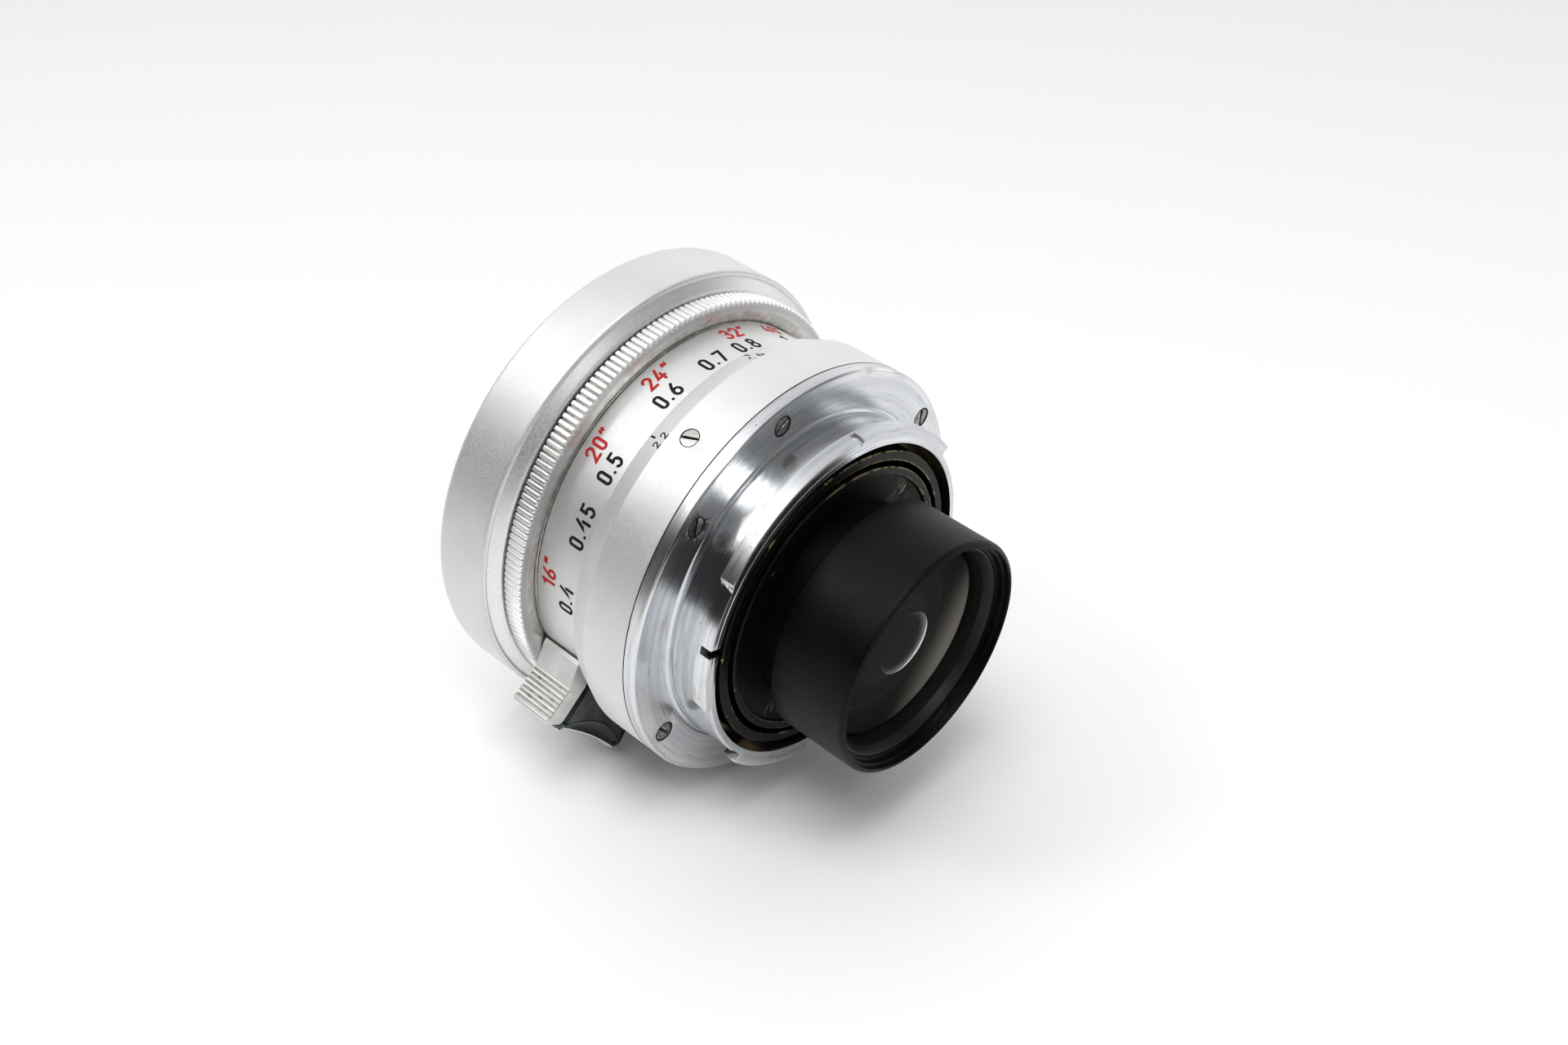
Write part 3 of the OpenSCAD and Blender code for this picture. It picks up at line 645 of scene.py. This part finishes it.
def stroke_outlines(points, half):
    """One closed outline of an open stroke, or two of a closed one."""
    if math.dist(points[0], points[-1]) < 1e-6:
        loop = points[:-1]
        return [side(loop, half, True), side(loop[::-1], half, True)]
    first = (points[1][0] - points[0][0], points[1][1] - points[0][1])
    last = (points[-1][0] - points[-2][0], points[-1][1] - points[-2][1])
    left = side(points, half, False)
    right = side(points[::-1], half, False)
    return [left[1:-1] + cap(points[-1], last, half) + right[1:-1]
            + cap(points[0], (-first[0], -first[1]), half)]


def engrave(bm, text, theta, baseline_y, height, stroke, radius_at, gap=GAP):
    """Adds the figures as thin fillings on a turned surface, centred on theta.

    They read towards smaller theta with their tops towards the front, and radius_at
    gives the surface's radius at a place along the axis, all in mm. The mark for feet
    or inches follows the figures and doesn't shift their centre.
    """
    names = [text] if text in GLYPHS else list(text)
    widths = [GLYPHS[n][0] * height for n in names]
    figures = [width for name, width in zip(names, widths) if name not in ("'", '"')]
    total = sum(figures) + gap * height * (len(figures) - 1)
    left = -total / 2
    mid_r = radius_at(baseline_y - height / 2)

    def place(u, v, lift):
        y = baseline_y - v
        return at(radius_at(y) + lift, theta - math.degrees(u / mid_r), y)

    for name, width in zip(names, widths):
        for stroke_points in GLYPHS[name][1]:
            line = densify([(left + x * height, z * height) for x, z in stroke_points], 0.3)
            add_filling(bm, stroke_outlines(line, stroke / 2), place)
        left += width + gap * height


def add_filling(bm, outlines, place, sunk=-0.03, proud=0.012):
    """A thin solid between two lifts, from one outline and its holes."""
    loops = [[Vector((p[0], p[1], 0)) for p in outline] for outline in outlines]
    triangles = tessellate_polygon(loops)
    flat = [p for outline in outlines for p in outline]
    bottom = [bm.verts.new(place(*p, sunk)) for p in flat]
    top = [bm.verts.new(place(*p, proud)) for p in flat]
    for a, b, c in triangles:
        for verts in ((top[a], top[b], top[c]), (bottom[c], bottom[b], bottom[a])):
            if len(set(verts)) == 3 and bm.faces.get(verts) is None:
                bm.faces.new(verts)
    start = 0
    for outline in outlines:
        n = len(outline)
        for i in range(n):
            a, b = start + i, start + (i + 1) % n
            bm.faces.new((bottom[a], bottom[b], top[b], top[a]))
        start += n


def cylinder(radius):
    """The radius of a cylinder at a place along the axis: the same anywhere."""
    return lambda _: radius


def cone_radius(y):
    """The radius of the barrel's cone at a place along the axis."""
    t = (y - CONE_FRONT_Y) / (CONE_REAR_Y - CONE_FRONT_Y)
    return CONE_FRONT_R + (FLANGE_R - CONE_FRONT_R) * t


def distance_theta(metres):
    """Where a distance stands on the focusing ring: it follows the helicoid's travel."""
    focal_length_squared = 448   # mm squared
    film_to_focal_point = 56     # mm
    turn_per_mm = 135.3          # degrees of the ring for each mm of extension
    extension = focal_length_squared / (metres / MM - film_to_focal_point)
    return INDEX_THETA + turn_per_mm * extension


def distance_scale():
    """The metres, in black on the focusing ring."""
    metres = [("0.4", 0.4), ("0.45", 0.45), ("0.5", 0.5), ("0.6", 0.6), ("0.7", 0.7), ("0.8", 0.8),
              ("1", 1), ("1.2", 1.2), ("1.5", 1.5), ("2", 2), ("3", 3), ("5", 5)]
    bm = bmesh.new()
    for text, distance in metres:
        engrave(bm, text, distance_theta(distance), baseline_y=-12.68, height=1.92, stroke=0.375,
                radius_at=cylinder(FOCUS_R))
    engrave(bm, "inf", INDEX_THETA, baseline_y=-12.6, height=2.0, stroke=0.38,
            radius_at=cylinder(FOCUS_R))
    new_object("focus_scale_metres", bm, MATERIALS["black_paint"], "focus")


def inch_scale():
    """The feet and inches, in red in front of the metres."""
    inch = 0.0254
    marks = [('16"', 16), ('20"', 20), ('24"', 24), ('32"', 32), ('40"', 40), ("5'", 60),
             ("7'", 84), ("10'", 120), ("20'", 240)]
    bm = bmesh.new()
    for text, distance in marks:
        engrave(bm, text, distance_theta(distance * inch), baseline_y=-15.71, height=1.85,
                stroke=0.37, radius_at=cylinder(FOCUS_R))
    new_object("focus_scale_inches", bm, MATERIALS["red_paint"], "focus")


def tick(bm, theta, from_y, to_y, width, radius_at):
    """A straight engraved line along the axis."""
    def place(u, v, lift):
        return at(radius_at(v) + lift, theta - math.degrees(u / radius_at(v)), v)
    half = width / 2
    add_filling(bm, [[(-half, from_y), (half, from_y), (half, to_y), (-half, to_y)]], place)


def depth_of_field_scale():
    """F-numbers on the cone, on both sides of the index, with a line for each."""
    bm = bmesh.new()
    tick(bm, INDEX_THETA, -10.7, -8.6, 0.3, cone_radius)
    degrees_per_f_number = 5.64
    for number in ("22", "16", "11", "8", "5.6", "4"):
        for side_of_index in (-1, 1):
            theta = INDEX_THETA + side_of_index * degrees_per_f_number * float(number)
            engrave(bm, number, theta, baseline_y=-8.25, height=1.05, stroke=0.18,
                    radius_at=cone_radius, gap=0.3 if "." in number else 0.75)
            tick(bm, theta, -10.6, -9.75, 0.24, cone_radius)
    new_object("depth_scale", bm, MATERIALS["black_paint"], "barrel")


def aperture_scale():
    """F-numbers on the front ring, and a dot on the knurled ring that points at one."""
    first_theta, step = -121, 12
    bm = bmesh.new()
    for i, number in enumerate(("3.4", "4", "5.6", "8", "11", "16", "22")):
        engrave(bm, number, first_theta + step * i, baseline_y=-23.6, height=1.9, stroke=0.32,
                radius_at=cylinder(FRONT_R))
    new_object("aperture_scale", bm, MATERIALS["black_paint"], "head")
    dot_r, dot_y = 25.9, -18.28
    bm = bmesh.new()

    def place(u, v, lift):
        return at(dot_r + lift * 4, first_theta - math.degrees(u / dot_r), dot_y + v)
    add_filling(bm, [arc(0, 0, 0.5, 0.12, 0, 330, 11)], place)
    new_object("aperture_dot", bm, MATERIALS["red_paint"], "aperture")


def filter_thread():
    """Turns of the filter thread inside the front ring's bore."""
    pitch, first_y, root_r, crest_r = 0.46, -29.45, 23.74, 23.50
    profile = [(root_r + 0.04, -29.6)]
    for i in range(4):
        y = first_y + pitch * i
        profile += [(root_r, y - 0.13), (crest_r, y), (root_r, y + 0.13)]
    profile += [(root_r + 0.04, -27.75)]
    lathe("filter_thread_turns", profile, MATERIALS["satin_chrome"], "head")


def gap_ring(outer, inner):
    """The outline of a flat ring, and of its hole."""
    return [arc(0, 0, outer, outer, 0, 345, 23), arc(0, 0, inner, inner, 345, 0, 23)]


def screw_gaps():
    """The dark gap round each screw head on the mount and the barrel."""
    bm = bmesh.new()
    for theta in FLANGE_SCREW_THETAS:
        centre = at(FLANGE_SCREW_R, theta, 0) / MM

        def on_flange(u, v, lift, centre=centre):
            return Vector((centre.x + u, lift * 0.5, centre.z + v)) * MM
        add_filling(bm, gap_ring(1.30, 1.11), on_flange)
    for theta in BARREL_SCREW_THETAS:
        def on_barrel(u, v, lift, theta=theta):
            return at(FLANGE_R + lift * 0.4, theta + math.degrees(u / FLANGE_R), BARREL_SCREW_Y + v)
        add_filling(bm, gap_ring(1.17, 1.06), on_barrel)
    new_object("screw_gaps", bm, MATERIALS["black_paint"], "barrel")


# ---------------------------------------------------------------- glass behind the mount

def faint_rings(s, color):
    """The faint brown arcs that the inner elements show through the rear glass."""
    for r, radius, width, tint in ((3.2, 5.3, 0.60, (0.024, 0.018, 0.021)),
                                   (4.6, 9.2, 0.30, (0.022, 0.020, 0.018)),
                                   (1.9, 4.6, 0.40, (0.020, 0.017, 0.017))):
        away = s.minus(offset_radius(s, r, 50), radius * MM)
        near = s.ramp(s.math("ABSOLUTE", away), 0.2 * width * MM, width * MM, 0.8, 0.0)
        color = s.mix(near, color, tint)
    return color


def glass_lacquer():
    """The wide lacquered zone of the rear glass, with a painted glow that makes it warmer and lighter
    to one side.
    """
    s = Shader("glass_lacquer", (0.03, 0.03, 0.026), 0.0, 0.5)
    s.bsdf.inputs["Specular IOR Level"].default_value = 0.03
    s.bsdf.inputs["Specular Tint"].default_value = (0.25, 0.24, 0.22, 1.0)
    radius, _, _ = s.polar()
    x, _, z = s.xyz()
    # A painted glow: the colour is lighter and warmer towards theta 238.
    side = at(1, 238, 0) / MM
    across = s.plus(s.times(x, side.x), s.times(z, side.z))
    glow = s.ramp(across, 2.5 * MM, 12.5 * MM)
    glow = s.times(glow, s.plus(glow, s.ramp(s.noise(8 * MM), 0.3, 0.7, -0.04, 0.04)))
    color = s.mix(glow, (0.013, 0.0125, 0.012), (0.260, 0.245, 0.215))
    s.color(faint_rings(s, color))
    s.rough(s.ramp(radius, 4 * MM, 12 * MM, 0.45, 0.6))
    return s.material


def glass_heart():
    """The clear middle of the rear glass: dark, with faint arcs, a painted highlight in a bright
    crescent and a softer painted glow inside it.
    """
    s = Shader("glass_heart", (0.02, 0.02, 0.02), 0.0, 0.3)
    s.bsdf.inputs["Specular IOR Level"].default_value = 0.03
    s.bsdf.inputs["Specular Tint"].default_value = (0.25, 0.25, 0.25, 1.0)
    near = offset_radius(s, 1.0, 50)
    # A soft painted glow inside the crescent.
    soft = s.ramp(near, 2.8 * MM, 4.9 * MM)
    soft = s.times(soft, soft)
    # A painted highlight: the bright crescent.
    bright = s.ramp(near, 4.30 * MM, 4.80 * MM)
    bright = s.times(bright, bright)
    color = faint_rings(s, s.mix(s.noise(2 * MM), (0.005, 0.005, 0.005), (0.009, 0.008, 0.008)))
    color = s.mix(soft, color, (0.28, 0.275, 0.275))
    color = s.mix(bright, color, (1.0, 1.0, 0.99))
    s.color(color)
    s.rough(s.ramp(soft, 0.0, 1.0, 0.3, 0.4))
    return s.material


def rear_glass():
    """The rear meniscus: a clear middle, a lacquered zone, a black edge and a bowl in front."""
    bm = bmesh.new()
    segments = 192
    edge_r = 12.5
    bowl_apex_y, bowl_curve = 15.6, 11
    bowl_rim_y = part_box("rear_meniscus")[0][1] / MM + 0.02

    def rear_y(r):
        return REAR_GLASS_Y - r * r / 320

    def front_y(r):
        return max(bowl_rim_y, bowl_apex_y - bowl_curve + math.sqrt(max(0.0, bowl_curve ** 2 - r * r)))

    # rows of points from the middle of the rear face round to the middle of the bowl: radius,
    # y, and the material of the faces up to the row
    rows = [(r, rear_y(r), 0) for r in (1.0, 2.0, 3.0, HEART_R)]
    lacquer = [HEART_R + (LACQUER_R - HEART_R) * i / 20 for i in range(1, 21)]
    rows += [(r, rear_y(r), 1) for r in lacquer]
    rows += [(LACQUER_R + 0.10, 15.5, 2), (12.2, 15.0, 2), (edge_r, 14.9, 2)]
    rows += [(edge_r * i / 40, front_y(edge_r * i / 40), 2) for i in range(40, 0, -1)]
    rings = [[bm.verts.new(at(r, 360 * i / segments, y)) for i in range(segments)]
             for r, y, _ in rows]
    bridge(bm, rings, [index for _, _, index in rows[1:]])
    for ring, y, index in ((rings[0], REAR_GLASS_Y, 0), (rings[-1], bowl_apex_y, 2)):
        centre = bm.verts.new(at(0, 0, y))
        for i in range(segments):
            bm.faces.new((ring[i], ring[(i + 1) % segments], centre)).material_index = index
    obj = new_object("rear_glass", bm, glass_heart(), "head")
    obj.data.materials.append(glass_lacquer())
    obj.data.materials.append(MATERIALS["black_alloy"])
    obj.data.shade_smooth()
    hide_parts("rear_meniscus")


def seam_lines():
    """Thin dark joints between the flange and the barrel, and in front of the knurl."""
    lines = [("flange_seam", FLANGE_R, -1.70, "barrel"), ("ring_seam", 26.35, -21.12, "head")]
    for name, r, y, body in lines:
        profile = [(r - 0.2, y - 0.045), (r + 0.004, y - 0.045), (r + 0.004, y + 0.045),
                   (r - 0.2, y + 0.045)]
        lathe(name, profile, MATERIALS["black_paint"], body)


def cove_edge():
    """The inner edge of the knurled ring's cove, beside the focusing ring."""
    profile = [(23.5, -19.14), (23.93, -19.14), (23.88, -18.80), (23.84, -18.76), (23.5, -18.76)]
    lathe("cove_edge", profile, MATERIALS["bright_chrome"], "aperture")


def along_ray(ray, centre, radius):
    """Where a ray from the axis enters a circle, or the place nearest to it."""
    along = ray.dot(centre)
    return along - math.sqrt(max(0.0, along ** 2 - centre.dot(centre) + radius ** 2))


def tab_scoop():
    """The crescent scoop in the tab's rear face, with the bright lip along its lower edge."""
    hollow, wide = at(*TAB_HOLLOW_CENTRE, 0), at(73.4, 134.4, 0)
    wide_r = 43.6
    first_theta, sweep = 123.0, 24.0
    edge_y, depth = -12.42, 0.42
    lip_y, foot_y = -13.0, -13.9
    steps, rows = 40, 8
    bm = bmesh.new()
    grid = []
    for i in range(steps + 1):
        ray = at(1, first_theta + sweep * i / steps, 0) / MM
        low = along_ray(ray, hollow, TAB_HOLLOW_R * MM)
        high = along_ray(ray, wide, wide_r * MM)
        high = max(min(high - 0.15 * MM, 30.95 * MM), low + 0.02 * MM)
        lip = high + 0.22 * MM
        column = []
        for j in range(rows + 1):
            t = j / rows
            y = edge_y - depth * math.sin(math.pi * min(t * 0.75, 0.75))
            column.append(ray * (low + (high - low) * t) + Vector((0, y * MM, 0)))
        column += [ray * lip + Vector((0, lip_y * MM, 0)), ray * lip + Vector((0, foot_y * MM, 0)),
                   ray * low + Vector((0, foot_y * MM, 0))]
        grid.append([bm.verts.new(p) for p in column])
    last = len(grid[0])
    for a, b in zip(grid, grid[1:]):
        for j in range(last):
            k = (j + 1) % last
            face = bm.faces.new((a[j], b[j], b[k], a[k]))
            face.material_index = 1 if rows - 1 < j < last - 1 else 0
    bm.faces.new(grid[0])
    bm.faces.new(list(reversed(grid[-1])))
    obj = new_object("tab_scoop", bm, scoop_chrome(), "focus")
    obj.data.materials.append(OWN_MATERIALS["lever_heel"])


def lever_width():
    """Where the lever's front and rear sides are, just inside its CAD node."""
    low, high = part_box("lock_lever")
    return low[1] / MM + 0.03, high[1] / MM - 0.03


def lever_heel():
    """The smooth skin over the heel of the lever, from its outline of radii and thetas."""
    front, rear = lever_width()
    outline = [(24.25, 110.0), (24.62, 110.25), (25.5, 112.2), (26.3, 113.8), (26.85, 114.8)]
    bm = bmesh.new()
    inner = [[bm.verts.new(at(r - 0.08, theta + 0.05, y)) for r, theta in outline]
             for y in (front, rear)]
    outer = [[bm.verts.new(at(r + 0.03, theta - 0.03, y)) for r, theta in outline]
             for y in (front, rear)]
    loops = [(outer[0], outer[1]), (inner[1], inner[0]), (inner[0], outer[0]), (outer[1], inner[1])]
    for a, b in loops:
        for i in range(len(outline) - 1):
            bm.faces.new((a[i], a[i + 1], b[i + 1], b[i]))
    for i in (0, -1):
        bm.faces.new((inner[0][i], inner[1][i], outer[1][i], outer[0][i]))
    new_object("lever_heel", bm, OWN_MATERIALS["lever_heel"], "lock")


def lever_lip():
    """The rounded lip below the lever's grip grooves."""
    front, rear = lever_width()
    segments = 24
    bm = bmesh.new()
    centre = at(31.1, 117.75, 0)
    ends = [(0.0, 0.30), (0.06, 0.37), (0.16, 0.40)]  # distance from the end, and radius there
    rows = [(front + y, r) for y, r in ends] + [(rear - y, r) for y, r in reversed(ends)]
    angles = [2 * math.pi * i / segments for i in range(segments)]
    rings = [[bm.verts.new(Vector((centre.x + r * MM * math.cos(angle), y * MM,
                                   centre.z + r * MM * math.sin(angle)))) for angle in angles]
             for y, r in rows]
    bridge(bm, rings)
    bm.faces.new(rings[0])
    bm.faces.new(rings[-1])
    lip = new_object("lever_lip", bm, MATERIALS["satin_chrome"], "lock")
    lip.data.shade_smooth()


# ---------------------------------------------------------------- knurled ring

def knurled_ring():
    """The aperture ring's 200 teeth, each with a rounded crest and chamfered ends."""
    teeth = 200
    rear = -18.3
    front = KNURL_FRONT_Y
    tooth_height = 0.5
    root = KNURL_R - tooth_height
    bore = 21.95
    # crest profile across one pitch: share of the pitch, share of the tooth height
    tooth = [(0.0, 0.0), (0.09, 0.35), (0.19, 0.92), (0.30, 1.0), (0.70, 1.0), (0.81, 0.92),
             (0.91, 0.35)]
    # rows from front to rear: y, and the share of the tooth height left there
    rows = [(front, 0.15), (front + 0.07, 0.62), (front + 0.22, 1.0), (rear - 0.20, 1.0),
            (rear - 0.06, 0.66), (rear, 0.2)]
    bm = bmesh.new()
    rings = []
    for y, height in rows:
        ring = []
        for i in range(teeth):
            for share, up in tooth:
                theta = 360 * (i + share) / teeth
                ring.append(bm.verts.new(at(root + tooth_height * up * height, theta, y)))
        rings.append(ring)
    # smooth cove behind the teeth, then the bore and the front face
    cove = [(25.9, rear), (25.5, -18.33), (25.0, -18.42), (24.5, -18.56), (24.1, -18.72),
            (23.95, -18.82), (23.9, -19.1), (bore, -19.1), (bore, front)]
    for r, y in cove:
        rings.append([bm.verts.new(at(r, 360 * (i + share) / teeth, y))
                      for i in range(teeth) for share, _ in tooth])
    bridge(bm, rings + rings[:1])
    ring = new_object("aperture_grip", bm, MATERIALS["bright_chrome"], "aperture")
    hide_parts("aperture_ring")
    soften(ring, 0.012)


# ---------------------------------------------------------------- assembly

MATERIALS = {
    "satin_chrome": satin_chrome(),
    "bright_chrome": bright_chrome(),
    "mount_steel": mount_steel(),
    "screw_steel": screw_steel(),
    "brass": brass(),
    "aged_brass": aged_brass(),
    "black_alloy": black_anodised("black_alloy", 0.002, 0.004, 0.08),
    "blade_steel": black_steel(),
    "glass": glass(),
    "black_paint": paint("black_paint", (0.006, 0.006, 0.006), (0.016, 0.016, 0.016)),
    "red_paint": paint("red_paint", (0.48, 0.028, 0.030), (0.40, 0.022, 0.024)),
}
OWN_MATERIALS = {
    "front_ring": front_chrome(),
    "focus_tab": tab_chrome(),
    "lock_lever": lever_chrome(),
    "lever_heel": heel_chrome(),
    "rangefinder_sleeve": black_brass("rangefinder_paint", [(18.95, 5.85), (17.8, 5.9)]),
    "inner_helicoid": black_brass("helicoid_paint", [(17.05, 6.05), (16.15, 6.05)]),
    "rear_tube": black_anodised("tube_black", 0.0010, 0.0020, 0.13),
    "rear_retainer": black_anodised("retainer_black", 0.008, 0.013, 0.25),
    "flange_screws": slotted("flange_screw_steel", (0.30, 0.31, 0.29), (0.12, 0.12, 0.105),
                             below_y(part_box("flange_screws")[1][1] / MM)),
    "barrel_screws": slotted("barrel_screw_steel", (0.62, 0.62, 0.60), (0.45, 0.45, 0.42),
                             below_r(26.1)),
    "rear_plate_screws": slotted("plate_screw_brass", (0.022, 0.020, 0.013), (0.085, 0.066, 0.030),
                                 below_y(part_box("rear_plate_screws")[1][1] / MM)),
}

for part in frame["record"]["subparts"]:
    name = part["node"]
    slot_name = part["material_slot"]
    for slot in nodes[name].material_slots:
        slot.material = OWN_MATERIALS.get(name) or MATERIALS[slot_name]
    if slot_name != "glass" and name not in ("aperture_ring", "click_spring", "click_ball"):
        soften(nodes[name], 0.04)

knurled_ring()
distance_scale()
inch_scale()
depth_of_field_scale()
aperture_scale()
filter_thread()
screw_gaps()
seam_lines()
cove_edge()
tab_scoop()
lever_heel()
lever_lip()
rear_glass()


# ---------------------------------------------------------------- stage

# Where the lens lies on the floor, along the axis in mm, and the gap under it in metres.
FRONT_REST_Y = -22.7
REAR_REST_Y = -0.25
FLOOR_GAP = 0.00002

# Radiance of the parts of the room.
WALL = 1.35
CEILING_FRONT = 1.0
CEILING_REAR = 0.25
DARK = 0.02
TABLE_SIDE = 1.0


def camera():
    """The camera looks down at the lens from behind its right side."""
    data = bpy.data.cameras.new("camera")
    data.lens = 40.64
    data.sensor_width = 36
    data.clip_start = 0.005
    obj = bpy.data.objects.new("camera", data)
    bpy.context.scene.collection.objects.link(obj)
    place = Vector((125.43, 100.89, 129.01)) * MM
    target = Vector((-1.82, -4.52, 4.24)) * MM
    turn = (target - place).to_track_quat("-Z", "Y").to_matrix().to_4x4()
    obj.matrix_world = Matrix.Translation(place) @ turn @ Matrix.Rotation(math.radians(5.52), 4, "Z")
    bpy.context.scene.camera = obj


def floor():
    """The lens lies on its side: the floor touches the front ring and the flange.

    The floor beyond 0.2 m in +X is a piece of its own that reflections don't see, so the
    polished mount reflects a dark room there, as past the edge of a table.
    """
    front = Vector((0, FRONT_REST_Y, -FRONT_R)) * MM
    rear = Vector((0, REAR_REST_Y, -FLANGE_R)) * MM
    slope = (rear - front).normalized()
    normal = Vector((1, 0, 0)).cross(slope)
    turn = Matrix((Vector((1, 0, 0)), slope, normal)).transposed().to_4x4()
    s = Shader("floor_paper", (0.9, 0.9, 0.9), 0.0, 0.6)
    s.color(s.mix(s.noise(40 * MM), (0.90, 0.90, 0.90), (0.915, 0.915, 0.915)))
    half, edge = 3.0, 0.2
    for name, low, high in (("floor", -half, edge), ("floor_beyond", edge, half)):
        bpy.ops.mesh.primitive_grid_add(x_subdivisions=8, y_subdivisions=8, size=2 * half)
        obj = bpy.context.object
        obj.name = name
        for vertex in obj.data.vertices:
            vertex.co.x = min(max(vertex.co.x, low), high)
        bm = bmesh.new()
        bm.from_mesh(obj.data)
        bmesh.ops.dissolve_degenerate(bm, dist=1e-6, edges=bm.edges)
        bm.to_mesh(obj.data)
        bm.free()
        obj.matrix_world = Matrix.Translation(front - normal * FLOOR_GAP) @ turn
        obj.data.materials.append(s.material)
        obj.visible_glossy = name == "floor"


def softbox(name, direction, distance, size, radiance):
    """A square area light that faces the lens, given by the radiance of its surface."""
    data = bpy.data.lights.new(name, "AREA")
    data.shape = "SQUARE"
    data.size = size
    data.energy = radiance * math.pi * size * size
    obj = bpy.data.objects.new(name, data)
    bpy.context.scene.collection.objects.link(obj)
    place = Vector(direction).normalized() * distance
    obj.matrix_world = Matrix.Translation(place) @ place.to_track_quat("Z", "Y").to_matrix().to_4x4()


def surroundings():
    """A pale room: brightest behind the lens, dim over the mount, dark beyond the table.

    turn is the direction's angle about the optical axis, from +Z towards +X in radians.
    The camera itself sees plain white.
    """
    world = bpy.data.worlds.new("room")
    bpy.context.scene.world = world
    world.use_nodes = True
    n = Nodes(world.node_tree, "Generated")
    x, y, z = n.xyz()
    turn = n.math("ARCTAN2", x, z)

    def from_turn(start, end, before, after):
        return n.ramp(turn, math.radians(start), math.radians(end), before, after)

    room = n.ramp(y, -0.15, 0.3, from_turn(-85, -60, WALL, CEILING_FRONT),
                  from_turn(-85, -60, WALL, CEILING_REAR))
    room = from_turn(49, 56, room, DARK)
    room = from_turn(95, 102, room, TABLE_SIDE)
    to_camera = n.tree.nodes.new("ShaderNodeLightPath").outputs["Is Camera Ray"]
    background = n.tree.nodes["Background"]
    n.link(n.ramp(to_camera, 0.0, 1.0, room, 1.0), background.inputs["Strength"])
    background.inputs["Color"].default_value = (1.0, 1.0, 1.0, 1.0)


camera()
floor()
surroundings()
softbox("lamp_front", (0.49, -0.51, 0.70), 0.7, 0.18, 6.0)
softbox("lamp_middle", (0.30, 0.10, 0.95), 0.7, 0.36, 5.5)
softbox("lamp_rear", (0.22, 0.60, 0.77), 0.7, 0.20, 5.0)
bpy.context.scene.view_settings.view_transform = "Standard"
